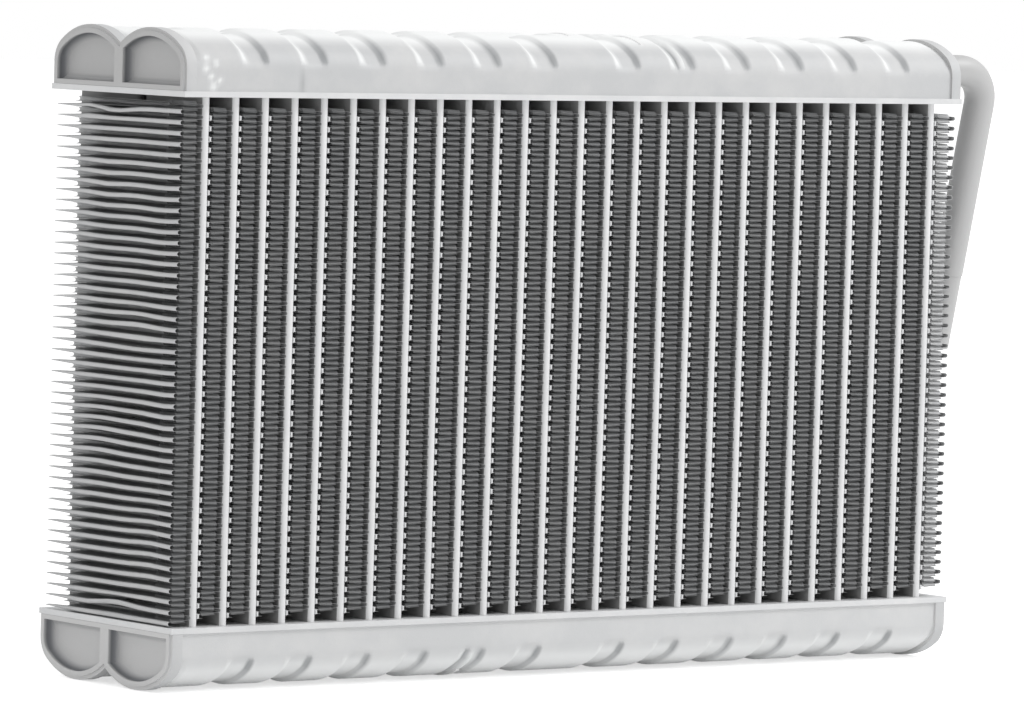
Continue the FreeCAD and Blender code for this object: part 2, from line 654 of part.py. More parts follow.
# Top tank: its header plate's lower face is the top of the air window.
place(header_plate("top_header"), z=TOP_FACE)
place(tank_shell("top_tank", SECOND_PASS, False), z=TOP_FACE)
for side, name in ((-1, "top_partition_front"), (1, "top_partition_back")):
    place(partition(name, side), f"{CORE_X} + {partition_x(SECOND_PASS)}", "0", TOP_FACE)
LEFT_END = f"{CORE_X} - {CORE_LENGTH} / 2"
RIGHT_END = f"{CORE_X} + {CORE_LENGTH} / 2"
place(end_cap("top_cap_left"), LEFT_END, "0", TOP_FACE)
# Turned half round about Z, the right cap has its front lobe where the left one has its back lobe.
ports = ((1, "inlet", "Sizes.inlet_diameter"), (-1, "outlet", "Sizes.outlet_root"))
place(end_cap("top_cap_right", ports), RIGHT_END, "0", TOP_FACE, Z_AXIS)

# Bottom tank: the same pieces turned upside down about X, or about Y for the right cap.
place(header_plate("bottom_header"), z=TANK_HEIGHT, axis=X_AXIS)
place(tank_shell("bottom_tank", FIRST_PASS, True), z=TANK_HEIGHT, axis=X_AXIS)
for side, name in ((1, "bottom_partition_front"), (-1, "bottom_partition_back")):
    place(partition(name, side), f"{CORE_X} + {partition_x(FIRST_PASS)}", "0", TANK_HEIGHT, X_AXIS)
place(end_cap("bottom_cap_left"), LEFT_END, "0", TANK_HEIGHT, X_AXIS)
place(end_cap("bottom_cap_right"), RIGHT_END, "0", TANK_HEIGHT, Y_AXIS)

PORT_Z = f"{TOP_FACE} + Sizes.port_height"
place(inlet_pipe("inlet_pipe"), RIGHT_END, f"-{LOBE_Y}", PORT_Z, X_AXIS, size("inlet_lean_angle"))
place(outlet_stub("outlet_stub"), RIGHT_END, LOBE_Y, PORT_Z)

tubes()
fins()
doc.recompute()

faulty = [o.Name for o in doc.Objects if "Invalid" in o.State or "Error" in o.State]
if faulty:
    raise RuntimeError(f"failed objects: {faulty}")
for part in subparts:
    if part.Shape.isNull() or not part.Shape.isValid() or not part.Shape.Solids:
        raise RuntimeError(f"{part.Label} has no valid solid")

os.makedirs("parts", exist_ok=True)
for part in subparts:
    part.Shape.exportStep(os.path.join("parts", f"{part.Label}.step"))
    print(f"{part.Label}: {len(part.Shape.Solids)} solids, {part.Shape.Volume / 1000:.2f} cm3")
box = FreeCAD.BoundBox()
for part in subparts:
    box.add(part.Shape.BoundBox)
print(f"{len(subparts)} sub-parts, X {box.XMin:.2f} {box.XMax:.2f}, Y {box.YMin:.2f} {box.YMax:.2f},"
      f" Z {box.ZMin:.2f} {box.ZMax:.2f}")
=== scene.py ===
# %% [markdown]
# # Evaporator core
# A brazed aluminium evaporator core takes heat out of a car's cabin air. Flat tubes carry
# the refrigerant between a top and a bottom tank, and a folded fin fills each space between
# them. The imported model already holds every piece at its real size, so this lesson dresses
# it: it models the thin fins, the pressed tanks, the caps and the pipe finely, and gives
# every surface its finish.

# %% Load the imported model
import math
import random

import bmesh
import bpy
import numpy as np
from mathutils import Matrix, Vector


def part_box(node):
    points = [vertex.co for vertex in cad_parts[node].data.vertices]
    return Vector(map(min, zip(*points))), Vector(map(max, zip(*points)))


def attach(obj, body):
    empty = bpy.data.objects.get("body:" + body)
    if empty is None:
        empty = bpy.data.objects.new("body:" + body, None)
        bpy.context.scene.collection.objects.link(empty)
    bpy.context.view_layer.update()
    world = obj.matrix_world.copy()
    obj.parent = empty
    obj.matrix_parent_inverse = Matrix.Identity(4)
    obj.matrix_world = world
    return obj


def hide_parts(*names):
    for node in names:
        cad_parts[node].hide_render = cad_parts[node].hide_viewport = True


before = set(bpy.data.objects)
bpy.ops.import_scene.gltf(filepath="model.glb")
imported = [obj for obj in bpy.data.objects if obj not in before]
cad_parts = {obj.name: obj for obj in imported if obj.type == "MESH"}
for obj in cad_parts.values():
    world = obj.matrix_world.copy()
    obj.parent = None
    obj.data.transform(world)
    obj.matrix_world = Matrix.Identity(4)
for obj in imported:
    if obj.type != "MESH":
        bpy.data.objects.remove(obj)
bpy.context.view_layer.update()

MM = 0.001
NEAR = 0.1 * MM          # points closer than this lie at the same place when they are picked
bpy.context.scene.view_settings.view_transform = "Standard"

# %% [markdown]
# ## Sizes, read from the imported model
# Everything that follows is measured from the CAD nodes, never typed in twice. The pitch of
# the tubes is the distance from the first fin to the last, shared out over the fins between.

# %% Measure the core
TUBE_COUNT = 27
PASS_COUNTS = (10, 6, 11)
fin_low, fin_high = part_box("fin_01")
PITCH = (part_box("fin_28")[0].x - fin_low.x) / TUBE_COUNT
pass_low, pass_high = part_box("front_tubes_pass_1")
TUBE_THICK = pass_high.x - pass_low.x - (PASS_COUNTS[0] - 1) * PITCH
TUBE_WIDE = pass_high.y - pass_low.y
FIRST_TUBE_X = pass_low.x + TUBE_THICK / 2
WINDOW_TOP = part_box("top_header")[0].z
WINDOW_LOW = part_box("bottom_header")[1].z
HEADER_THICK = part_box("top_header")[1].z - WINDOW_TOP
print(f"pitch {PITCH / MM:.2f}, tube {TUBE_THICK / MM:.2f} x {TUBE_WIDE / MM:.2f} mm")

# %% [markdown]
# ## Small helpers
# Blender's operators work on whatever is selected, so a modelling session in code keeps
# clearing the selection and picking again. These helpers do what the mouse would: click one
# object, box-select by place, apply the modifiers from top to bottom.


# %% Selection and modifier helpers
def only(*objects):
    """Selects these objects alone. The first one is active."""
    bpy.ops.object.select_all(action="DESELECT")
    for item in objects:
        item.select_set(True)
    bpy.context.view_layer.objects.active = objects[0]


def settle(obj):
    """Puts the object's place, turn and scale into its mesh."""
    only(obj)
    bpy.ops.object.transform_apply(location=True, rotation=True, scale=True)
    return obj


def edit(obj, kind="VERT"):
    """Opens the object in edit mode with nothing selected."""
    only(obj)
    bpy.ops.object.mode_set(mode="EDIT")
    bpy.ops.mesh.select_mode(type=kind)
    bpy.ops.mesh.select_all(action="DESELECT")


def pick(obj, test, kind="verts"):
    """Selects the parts of an open mesh that pass the test, and counts them."""
    mesh = bmesh.from_edit_mesh(obj.data)
    for part in getattr(mesh, kind):
        part.select_set(bool(test(part)))
    mesh.select_flush_mode()
    bmesh.update_edit_mesh(obj.data)
    return sum(part.select for part in getattr(mesh, kind))


def close():
    bpy.ops.object.mode_set(mode="OBJECT")


def modify(obj, kind, **values):
    """Adds a modifier with these values and applies it."""
    only(obj)
    modifier = obj.modifiers.new(kind.title(), kind)
    for name, value in values.items():
        setattr(modifier, name, value)
    bpy.ops.object.modifier_apply(modifier=modifier.name)
    return obj


def twin(obj, name="copy"):
    """A copy with its own mesh."""
    copy = obj.copy()
    copy.data = obj.data.copy()
    copy.name = name
    bpy.context.collection.objects.link(copy)
    return copy


def move(obj, x=0.0, y=0.0, z=0.0):
    obj.data.transform(Matrix.Translation((x, y, z)))
    return obj


def merge(name, *objects):
    """Joins objects into the first one and names it."""
    only(*objects)
    bpy.ops.object.join()
    objects[0].name = name
    return objects[0]


def outward(obj):
    """Turns every face of a closed mesh outwards."""
    edit(obj)
    bpy.ops.mesh.select_all(action="SELECT")
    bpy.ops.mesh.normals_make_consistent(inside=False)
    close()
    return obj


def box_bar(name, size, centre):
    """A bar: a cube that is stretched to its size."""
    bpy.ops.mesh.primitive_cube_add(size=1, location=centre)
    bar = bpy.context.object
    bar.name = name
    bar.scale = size
    return settle(bar)


def points_of(obj):
    flat = np.zeros(len(obj.data.vertices) * 3)
    obj.data.vertices.foreach_get("co", flat)
    return flat.reshape(-1, 3)


def put_points(obj, points):
    obj.data.vertices.foreach_set("co", points.ravel())
    obj.data.update()


bpy.ops.object.select_all(action="DESELECT")
print("helpers ready")

# %% [markdown]
# ## Folded fins: the crest
# A fin is a strip of sheet 0.08 mm thick that a pair of star wheels folds into pleats. Each
# pleat has a round crest, which is brazed to a tube, and two nearly level legs. A curve with
# a bevel could draw that, but a spin gives exact round crests with few faces. One crest is
# made here: a short flat, half a turn by spin, and another short flat by extrude.

# %% Sizes of one pleat
SHEET = 0.08 * MM
CREST_RADIUS = 0.5 * MM
FLAT = 0.9 * MM
PLEATS = 48
CREST_STEPS = 5
FIN_HALF = (fin_high.x - fin_low.x) / 2
FIN_DEEP = fin_high.y - fin_low.y
PLEAT = (fin_high.z - fin_low.z - 2 * CREST_RADIUS) / PLEATS
crest_x = FIN_HALF - SHEET / 2 - CREST_RADIUS
LEG_SLOPE = math.asin((PLEAT / 2 - 2 * CREST_RADIUS) / math.hypot(2 * crest_x, PLEAT / 2))
print(f"pleat {PLEAT / MM:.3f} mm, leg slope {math.degrees(LEG_SLOPE):.2f} degrees")


# %% Fold one crest
def fold_crest(cells):
    """A crest round the Y axis, open towards +X, with this many cells along its depth."""
    bpy.ops.mesh.primitive_grid_add(x_subdivisions=1, y_subdivisions=cells, size=1)
    crest = bpy.context.object
    crest.scale = (FLAT, FIN_DEEP, 1)
    crest.location = (FLAT / 2, 0, CREST_RADIUS)
    settle(crest)
    edit(crest)
    pick(crest, lambda v: v.co.x < FLAT / 2)
    round_part = math.pi - 2 * LEG_SLOPE
    bpy.ops.mesh.spin(steps=CREST_STEPS, angle=round_part, center=(0, 0, 0), axis=(0, 1, 0))
    along = (FLAT * math.cos(2 * LEG_SLOPE), 0, -FLAT * math.sin(2 * LEG_SLOPE))
    bpy.ops.mesh.extrude_region_move(TRANSFORM_OT_translate={"value": along})
    close()
    crest.data.transform(Matrix.Rotation(-LEG_SLOPE, 4, "Y"))
    return crest


trial = fold_crest(1)
print("faces on one crest", len(trial.data.polygons))
bpy.data.objects.remove(trial)

# %% [markdown]
# ## Folded fins: the legs
# Between the crests each leg is slit and twisted into louvres, which break up the air's
# boundary layer. Slats are cheap: each is a thin box, turned about its own long edge. Only
# the slats near the two faces can be seen, so the middle of a leg stays one plain strip.

# %% Build one louvred leg
SLAT_PITCH = 1.05 * MM
SLAT_CHORD = 1.40 * MM
SLAT_TURN = math.radians(50)
SLAT_COUNT = 7
FRONT_STRIP = 0.3 * MM
LEG_LAP = 0.1 * MM
leg_long = 2 * crest_x - 2 * FLAT + LEG_LAP
slat_zone = SLAT_COUNT * SLAT_PITCH


def louvred_leg(open_back=False):
    """A flat leg, centred on the origin: a plain middle, and slats and a strip at both faces.

    With open_back the leg stops short of the back, where the pleats are pinched later.
    """
    edge = FIN_DEEP / 2
    strip = box_bar("strip", (leg_long, FRONT_STRIP, SHEET), (0, FRONT_STRIP / 2 - edge, 0))
    slat = box_bar("slat", (leg_long, SLAT_CHORD, SHEET), (0, 0, 0))
    slat.data.transform(Matrix.Rotation(SLAT_TURN, 4, "X"))
    move(slat, y=FRONT_STRIP - edge + SLAT_PITCH / 2)
    modify(slat, "ARRAY", count=SLAT_COUNT, use_relative_offset=False, use_constant_offset=True,
           constant_offset_displace=(0, SLAT_PITCH, 0))
    front = merge("louvres", strip, slat)
    if not open_back:
        modify(front, "MIRROR", use_axis=(False, True, False), use_mirror_merge=False)
    middle_deep = FIN_DEEP - 2 * (FRONT_STRIP + slat_zone)
    middle = box_bar("middle", (leg_long, middle_deep, SHEET), (0, 0, 0))
    return merge("leg", front, middle)


def leg_pair(open_back=False):
    """The rising and the falling leg of one pleat."""
    rising = louvred_leg(open_back)
    rising.data.transform(Matrix.Rotation(-LEG_SLOPE, 4, "Y"))
    falling = twin(rising)
    falling.data.transform(Matrix.Scale(-1, 4, (1, 0, 0)))
    outward(falling)
    move(rising, z=PLEAT / 4)
    move(falling, z=PLEAT * 3 / 4)
    return merge("leg_pair", rising, falling)


trial = leg_pair()
print("slats in one pleat", 4 * SLAT_COUNT, "faces", len(trial.data.polygons))
bpy.data.objects.remove(trial)

# %% [markdown]
# ## Folded fins: braze
# In the furnace the clad layer melts and runs into each crest and into the corners beside it.
# From the front the braze reads as bright teeth along every tube. Bars with the section of
# the braze, as deep as the fin, catch the light, and the brazed crest is also painted paler as a painted
# highlight.

# %% Make the braze of one crest
# Lit and shaded copies of one fin finish: a painted highlight on brazed crests, painted shade on legs and
# flats, a half-lit tone between
LIT_CREST, SHADED_LEG, HALF_LIT = 0, 1, 2          # the fin's finishes, by their number in its mesh
FILLET = ((0, 0.05), (0, 0.66), (0.22, 0.5), (0.4, 0.53))      # mm from the wall and from the middle
FILL_TURNS = (110, 140, 180, 220, 250)
BRAZE_SHORT = 0.05 * MM
CREST_REACH = 0.12 * MM


def bar_of(name, section, deep):
    """A bar along Y, centred there, with a section given as (x, z) points."""
    mesh = bpy.data.meshes.new(name)
    mesh.from_pydata([(x, -deep / 2, z) for x, z in section], [], [tuple(range(len(section)))])
    bar = bpy.data.objects.new(name, mesh)
    bpy.context.collection.objects.link(bar)
    edit(bar)
    bpy.ops.mesh.select_all(action="SELECT")
    bpy.ops.mesh.extrude_region_move(TRANSFORM_OT_translate={"value": (0, deep, 0)})
    close()
    return outward(bar)


def braze():
    """The fillets above and below a crest that touches a wall at -X, and the fill inside it."""
    wall = -CREST_RADIUS - SHEET / 2
    inner = CREST_RADIUS - SHEET / 2
    deep = FIN_DEEP - BRAZE_SHORT
    bars = []
    for up in (1, -1):
        corner = [(wall + x * MM, up * z * MM) for x, z in FILLET]
        bars.append(bar_of("fillet", corner, deep))
    turns = [math.radians(a) for a in FILL_TURNS]
    bars.append(bar_of("fill", [(inner * math.cos(a), inner * math.sin(a)) for a in turns], deep))
    return merge("braze", *bars)


def tone(obj, index):
    """Gives the round crests one of the fin's tones, and the flats and legs the painted shade.

    The three materials only hold the places of the finishes, which are made further on.
    """
    obj.data.materials.clear()
    # The placeholders hold the painted highlight, the painted shade and the half-lit tone, in that order
    for name in ("lit_crest_slot", "shaded_leg_slot", "satin"):
        obj.data.materials.append(bpy.data.materials.get(name) or bpy.data.materials.new(name))
    for face in obj.data.polygons:
        on_crest = abs(face.center.x) > crest_x - CREST_REACH
        face.material_index = index if on_crest else SHADED_LEG
    return obj


# %% [markdown]
# ## Folded fins: stack the pleats
# A fin is one pleat repeated, so an array modifier stacks it. The fins inside the core are
# brazed to the tube on their left. The one outside the first tube touches nothing there, so
# its outer crests are bare, and its pleats are pinched to thin points at the back. More cells
# along its depth let it bend.

# %% Stack the pleats into a fin
def pleated_fin(name, cells, brazed_left=True):
    """A whole fin, centred on X and Y, standing on Z 0."""
    left = fold_crest(cells)
    modify(left, "SOLIDIFY", thickness=SHEET, offset=0)
    right = twin(left)
    right.data.transform(Matrix.Rotation(math.pi, 4, "Z"))
    if brazed_left:
        left = merge("left", left, braze())
    move(left, x=-crest_x)
    move(right, x=crest_x, z=PLEAT / 2)
    crests = [tone(left, LIT_CREST if brazed_left else HALF_LIT), tone(right, HALF_LIT)]
    legs = tone(leg_pair(open_back=not brazed_left), SHADED_LEG)
    fin = merge(name, *crests, legs)
    modify(fin, "ARRAY", count=PLEATS, use_relative_offset=False, use_constant_offset=True,
           constant_offset_displace=(0, 0, PLEAT))
    return move(fin, z=CREST_RADIUS)


INNER_CELLS, OUTER_CELLS = 1, 12
inner_fin = pleated_fin("inner_fin", INNER_CELLS)
outer_fin = pleated_fin("outer_fin", OUTER_CELLS, brazed_left=False)
print("faces: inner", len(inner_fin.data.polygons), "outer", len(outer_fin.data.polygons))

# %% Pinch the outer fin at the back
PINCH_START, PINCH_LEAST = 14.0 * MM, 0.24
points = points_of(outer_fin)
crest_z = np.round((points[:, 2] - CREST_RADIUS) / PLEAT) * PLEAT + CREST_RADIUS
pinch = np.clip((points[:, 1] - PINCH_START) / (FIN_DEEP / 2 - PINCH_START), 0, 1) * (points[:, 0] < 0)
points[:, 2] = crest_z + (points[:, 2] - crest_z) * (1 - (1 - PINCH_LEAST) * pinch)
put_points(outer_fin, points)
print("points pinched", int((pinch > 0).sum()))

# %% [markdown]
# ## Put a fin in every space
# No two fins of a real core sit alike: each strip stretches a little as it is laid in. The
# outer one on the left is stretched until it reaches the header plates. Every copy gets its
# own mesh and its own slow waves, drawn from a seeded generator so that the result is the
# same on every run.

# %% Wave the pleats and place the copies
WAVE_COUNT, WAVE_HIGH = 3, 0.16 * MM
WAVES_UP, WAVES_BACK = (14, 40), (60, 140)      # the least and the greatest length, in mm
EASE_RATE = 12                                  # the waves fade out over a twelfth of the height
LEFT_STRETCH = 1.026
FIRST_SEED = 400


def waves(points, rng):
    """A slow random height for each point, made of a few sine waves that run along Y and Z."""
    height = np.zeros(len(points))
    for _ in range(WAVE_COUNT):
        along_z = 2 * math.pi / (rng.uniform(*WAVES_UP) * MM)
        along_y = 2 * math.pi / (rng.uniform(*WAVES_BACK) * MM)
        start = rng.uniform(0, 2 * math.pi)
        height += np.sin(points[:, 2] * along_z + points[:, 1] * along_y + start)
    return height * WAVE_HIGH / WAVE_COUNT


def ease(points, low, high):
    """1 in the middle of the fin's height and 0 at both ends, so that no pleat leaves the window."""
    share = (points[:, 2] - low) / (high - low)
    return np.clip(np.minimum(share, 1 - share) * EASE_RATE, 0, 1)


middle_z = (WINDOW_TOP + WINDOW_LOW) / 2
fin_pieces = []
for number in range(1, TUBE_COUNT + 2):
    node = f"fin_{number:02d}"
    low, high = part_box(node)
    fin = twin(outer_fin if number == 1 else inner_fin, f"{node}_pleats")
    move(fin, (low.x + high.x) / 2, 0, low.z)
    rng = random.Random(FIRST_SEED + number)
    points = points_of(fin)
    if number == 1:
        points[:, 2] = middle_z + (points[:, 2] - middle_z) * LEFT_STRETCH
    points[:, 2] += waves(points, rng) * ease(points, low.z, high.z)
    put_points(fin, points)
    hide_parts(node)
    fin_pieces.append(fin)
for blank in (inner_fin, outer_fin):
    bpy.data.objects.remove(blank)
print("fins", len(fin_pieces))

# %% [markdown]
# ## The battered outer fin
# The fin on the left end has no tube outside it, so it is the one that gets knocked. In the
# picture its pleats run in shallow waves, one space stands open, and the first and the last
# pleats are bent. The same mesh is pushed about with smooth bumps instead of being remade.
# The thin points at its back catch the light, so they wear the half-lit tone, a painted highlight.


# %% Knock the left fin
def bump(points, y, z, wide, high):
    """A smooth hill over the fin's outer side, 1 at its middle."""
    across = (points[:, 1] - y * MM) / (wide * MM)
    up = (points[:, 2] - z * MM) / (high * MM)
    return np.exp(-(across ** 2) - up ** 2)


LEFT_KNOCKS = (  # Y, Z, width, height and push up or down, all in mm
    (-10, 88, 9, 5, 0.55), (-10, 84, 9, 3, -0.5), (6, 60, 10, 14, 0.45), (-20, 112, 8, 16, -0.4),
    (2, 140.5, 8, 1.6, -0.9), (12, 139.5, 4, 1.4, 0.5), (-4, 20.2, 8, 1.6, 0.8), (10, 19.6, 5, 1.5, -0.3),
    (-17, 36, 7, 12, 0.45), (18, 100, 8, 18, 0.4), (-22, 66, 6, 10, -0.45), (4, 122, 6, 8, -0.35),
)
INNER_SHARE = 0.35                              # how much of a push reaches the side at the tube
END_GAP = 0.1 * MM
CRUSHED = ((4, 141.2, 9, 1.8), (2, 18.8, 9, 1.8))      # Y, Z, width and height, in mm
CRUSH_IN = 0.8 * MM
POINTS_FROM = PINCH_START + 4 * MM
left_fin = fin_pieces[0]
left_low, left_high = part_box("fin_01")
points = points_of(left_fin)
outer_share = np.clip((left_high.x - points[:, 0]) / (left_high.x - left_low.x), 0, 1)
shift = np.zeros(len(points))
for y, z, wide, high, push in LEFT_KNOCKS:
    shift += push * MM * bump(points, y, z, wide, high)
points[:, 2] += shift * (INNER_SHARE + (1 - INNER_SHARE) * outer_share)
points[:, 2] = np.clip(points[:, 2], WINDOW_LOW + END_GAP, WINDOW_TOP - END_GAP)
crushed = sum(bump(points, *place) for place in CRUSHED)
points[:, 0] += CRUSH_IN * outer_share * crushed
put_points(left_fin, points)
# The thin points at the back get the half-lit tone, a painted highlight
for face in left_fin.data.polygons:
    if face.center.y > POINTS_FROM:
        face.material_index = HALF_LIT
print("largest push in mm", round(float(np.abs(shift).max()) / MM, 2))

# %% [markdown]
# ## Flat tubes
# Each tube is a flat extrusion with round noses and fine channels inside. A box with its four
# long edges bevelled round is the same form. One tube is made and then copied, and the tubes
# of one pass are joined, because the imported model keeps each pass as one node.

# %% Round one tube and copy it
NOSE_SEGMENTS = 7
NOSE_SHARE = 0.49      # just under half the thickness, so that the two rounds don't meet
tube_size = (TUBE_THICK, TUBE_WIDE, pass_high.z - pass_low.z)
tube = box_bar("tube", tube_size, (0, 0, (pass_low.z + pass_high.z) / 2))
edit(tube, "EDGE")
pick(tube, lambda e: abs(e.verts[0].co.z - e.verts[1].co.z) > MM, "edges")
bpy.ops.mesh.bevel(offset=TUBE_THICK * NOSE_SHARE, segments=NOSE_SEGMENTS, affect="EDGES")
close()
tube_groups = []
for row in ("front", "back"):
    first = 0
    for number, group_size in enumerate(PASS_COUNTS, start=1):
        node = f"{row}_tubes_pass_{number}"
        low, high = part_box(node)
        places = [FIRST_TUBE_X + k * PITCH for k in range(first, first + group_size)]
        group = [move(twin(tube), x, (low.y + high.y) / 2) for x in places]
        piece = merge(f"{node}_rounded", *group)
        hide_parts(node)
        tube_groups.append(piece)
        first += group_size
bpy.data.objects.remove(tube)
print("tube groups", [p.name for p in tube_groups])

# %% [markdown]
# ## The tank's section
# A tank shell is one sheet, pressed into two arches side by side. Its section is a straight
# side, a tight shoulder and a wide crown, with a sharp valley between the two crowns. The
# sizes of these arcs follow from the shell's box and four pressing sizes.

# %% Work out the arches
SIDE_HEIGHT = 5.4 * MM
SHOULDER = 6.0 * MM
ARCH_RISE = 9.0 * MM
LOBE_Y = 13.0 * MM
shell_low, shell_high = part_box("top_tank")
HALF_DEEP = (shell_high.y - shell_low.y) / 2
lobe_half = HALF_DEEP - LOBE_Y
SPRING = HEADER_THICK + SIDE_HEIGHT
flat_part = lobe_half - SHOULDER
CROWN = (flat_part ** 2 + ARCH_RISE ** 2 - SHOULDER ** 2) / (2 * (ARCH_RISE - SHOULDER))
CENTRE = SPRING + ARCH_RISE - CROWN
TURN = math.asin(flat_part / (CROWN - SHOULDER))
SHOULDER_STEPS, CROWN_STEPS = 6, 14


def arch(inset, base, web=None):
    """The arch outline, drawn inside the shell's outer side by inset, as (y, z) from the front.

    With web it is the outline of the front lobe alone, as far as web from the middle.
    """
    side = [(inset - HALF_DEEP, base)]
    for k in range(SHOULDER_STEPS + 1):
        angle = math.pi - (math.pi / 2 - TURN) * k / SHOULDER_STEPS
        side.append((-HALF_DEEP + SHOULDER + (SHOULDER - inset) * math.cos(angle),
                     SPRING + (SHOULDER - inset) * math.sin(angle)))
    last = math.acos((LOBE_Y - (web or 0)) / (CROWN - inset))
    start = math.pi / 2 + TURN
    for k in range(1, CROWN_STEPS + 1):
        angle = start + (last - start) * k / CROWN_STEPS
        side.append((-LOBE_Y + (CROWN - inset) * math.cos(angle),
                     CENTRE + (CROWN - inset) * math.sin(angle)))
    if web is None:
        return side + [(-y, z) for y, z in side[-2::-1]]
    return side + [(-web, base)]


print(f"crown radius {CROWN / MM:.2f}, turn {math.degrees(TURN):.1f} degrees, points {len(arch(0, 0))}")

# %% [markdown]
# ## Press the tank shells
# The press draws the sheet over a tool with twelve ribs, so grooves cross each arch between
# every second pair of tubes, six on each side of the middle tube. They run out softly down
# the shoulder, and in one of them a partition plate's tab shows as a thin rib. The side is a
# grid, the arcs are spun from its upper edge, and a mirror makes the second lobe. The grooves
# are then pressed in with one formula, because a soft fade is hard to pull by hand.

# %% Spin the section
SHELL_COLUMNS, SIDE_ROWS, ARCH_ROWS = 300, 6, 16
SHEET_WALL = 1.3 * MM
MERGE_NEAR = 0.02 * MM
SHELL_LONG = shell_high.x - shell_low.x
SHELL_X = (shell_low.x + shell_high.x) / 2


def arched_sheet(name):
    """The plain twin arch, standing on Z 0 at the air window's edge, centred on X."""
    bpy.ops.mesh.primitive_grid_add(x_subdivisions=SHELL_COLUMNS, y_subdivisions=SIDE_ROWS, size=1)
    sheet = bpy.context.object
    sheet.name = name
    sheet.scale = (SHELL_LONG, SPRING - HEADER_THICK, 1)
    sheet.rotation_euler = (math.pi / 2, 0, 0)
    sheet.location = (0, -HALF_DEEP, (SPRING + HEADER_THICK) / 2)
    settle(sheet)
    edit(sheet)
    pick(sheet, lambda v: v.co.z > SPRING - NEAR)
    middle = (0, -HALF_DEEP + SHOULDER, SPRING)
    bpy.ops.mesh.spin(steps=SHOULDER_STEPS, angle=math.pi / 2 - TURN, center=middle, axis=(1, 0, 0))
    sweep = math.pi / 2 + TURN - math.acos(LOBE_Y / CROWN)
    bpy.ops.mesh.spin(steps=ARCH_ROWS, angle=sweep, center=(0, -LOBE_Y, CENTRE), axis=(1, 0, 0))
    close()
    return sheet


top_sheet = arched_sheet("top_tank_pressed")
reach = points_of(top_sheet)
print("spun section: y", [round(v / MM, 2) for v in (reach[:, 1].min(), reach[:, 1].max())],
      "z", [round(v / MM, 2) for v in (reach[:, 2].min(), reach[:, 2].max())])

# %% Set out the grooves
GROOVES_IN_SET = 6
GROOVE_DEPTH = 1.0 * MM
GROOVE_HALF = 4.1 * MM
GROOVE_FLAT = 0.55                           # the share of the half width at full depth
STARTS, RUNS_OUT = (-26, -12), (56, 88)      # where a groove fades in and out, in degrees of lean
NARROWS, NARROW_BY = (55, 84), 0.35          # where it gets narrower, and by how much
REBATE_WIDE, REBATE_FULL = 1.5 * MM, 0.8
REBATE_DEEP = 0.5 * MM
REBATE_ENDS = (50, 85)
TAB_HALF, TAB_FULL = 1.1 * MM, 0.4
left_set = [1.5 + 2 * k for k in range(GROOVES_IN_SET)]      # tube pitches from the first tube
right_set = [TUBE_COUNT - 1 - space for space in reversed(left_set)]
groove_places = [FIRST_TUBE_X + space * PITCH - SHELL_X for space in left_set + right_set]
TOP_TAB, LOW_TAB = groove_places[7], groove_places[4]
print("grooves in tube pitches", left_set + right_set)


def smooth(value, start, end):
    share = np.clip((value - start) / (end - start), 0, 1)
    return share * share * (3 - 2 * share)


def facing(y, z):
    """The way the arch faces at these points of the front lobe, as y, z and lean.

    lean is in degrees: 0 is straight up and 90 is the flat side.
    """
    across, up = y + LOBE_Y, z - CENTRE
    on_crown = np.degrees(np.arctan2(-across, up)) < math.degrees(TURN)
    out_y = np.where(on_crown, across, y + HALF_DEEP - SHOULDER)
    out_z = np.where(on_crown, up, np.maximum(z - SPRING, 0))
    length = np.hypot(out_y, out_z)
    return out_y / length, out_z / length, np.degrees(np.arctan2(-out_y, out_z))


# %% Press the grooves and give the sheet its wall
def press_grooves(sheet, tab_place):
    """Pushes each point inwards, square to the arch, under the ribs of the press.

    The sheet stays out over the partition's tab, at tab_place. Both ends of the sheet are
    drawn in a little, where the caps go over them.
    """
    points = points_of(sheet)
    out_y, out_z, lean = facing(points[:, 1], points[:, 2])
    depth = np.zeros(len(points))
    for place in groove_places:
        away = np.abs(points[:, 0] - place) / GROOVE_HALF
        narrow = 1 + NARROW_BY * smooth(lean, *NARROWS)
        depth = np.maximum(depth, 1 - smooth(away * narrow, GROOVE_FLAT, 1.0))
    depth *= smooth(np.abs(points[:, 0] - tab_place) / TAB_HALF, TAB_FULL, 1)
    push = GROOVE_DEPTH * depth * smooth(lean, *STARTS) * (1 - smooth(lean, *RUNS_OUT))
    to_end = SHELL_LONG / 2 - np.abs(points[:, 0])
    near_end = 1 - smooth(to_end, REBATE_WIDE * REBATE_FULL, REBATE_WIDE)
    push = np.maximum(push, REBATE_DEEP * near_end * (1 - smooth(lean, *REBATE_ENDS)))
    points[:, 1] -= out_y * push
    points[:, 2] -= out_z * push
    put_points(sheet, points)


def finish_shell(sheet, tab_place):
    press_grooves(sheet, tab_place)
    modify(sheet, "MIRROR", use_axis=(False, True, False), use_mirror_merge=True,
           merge_threshold=MERGE_NEAR)
    modify(sheet, "SOLIDIFY", thickness=SHEET_WALL, offset=-1)


bottom_sheet = twin(top_sheet, "bottom_tank_pressed")
finish_shell(top_sheet, TOP_TAB)
finish_shell(bottom_sheet, LOW_TAB)
low, high = [Vector(c) for c in zip(*[(p.min(), p.max()) for p in points_of(top_sheet).T])]
print("shell box in mm", [round(v / MM, 2) for v in low], [round(v / MM, 2) for v in high])
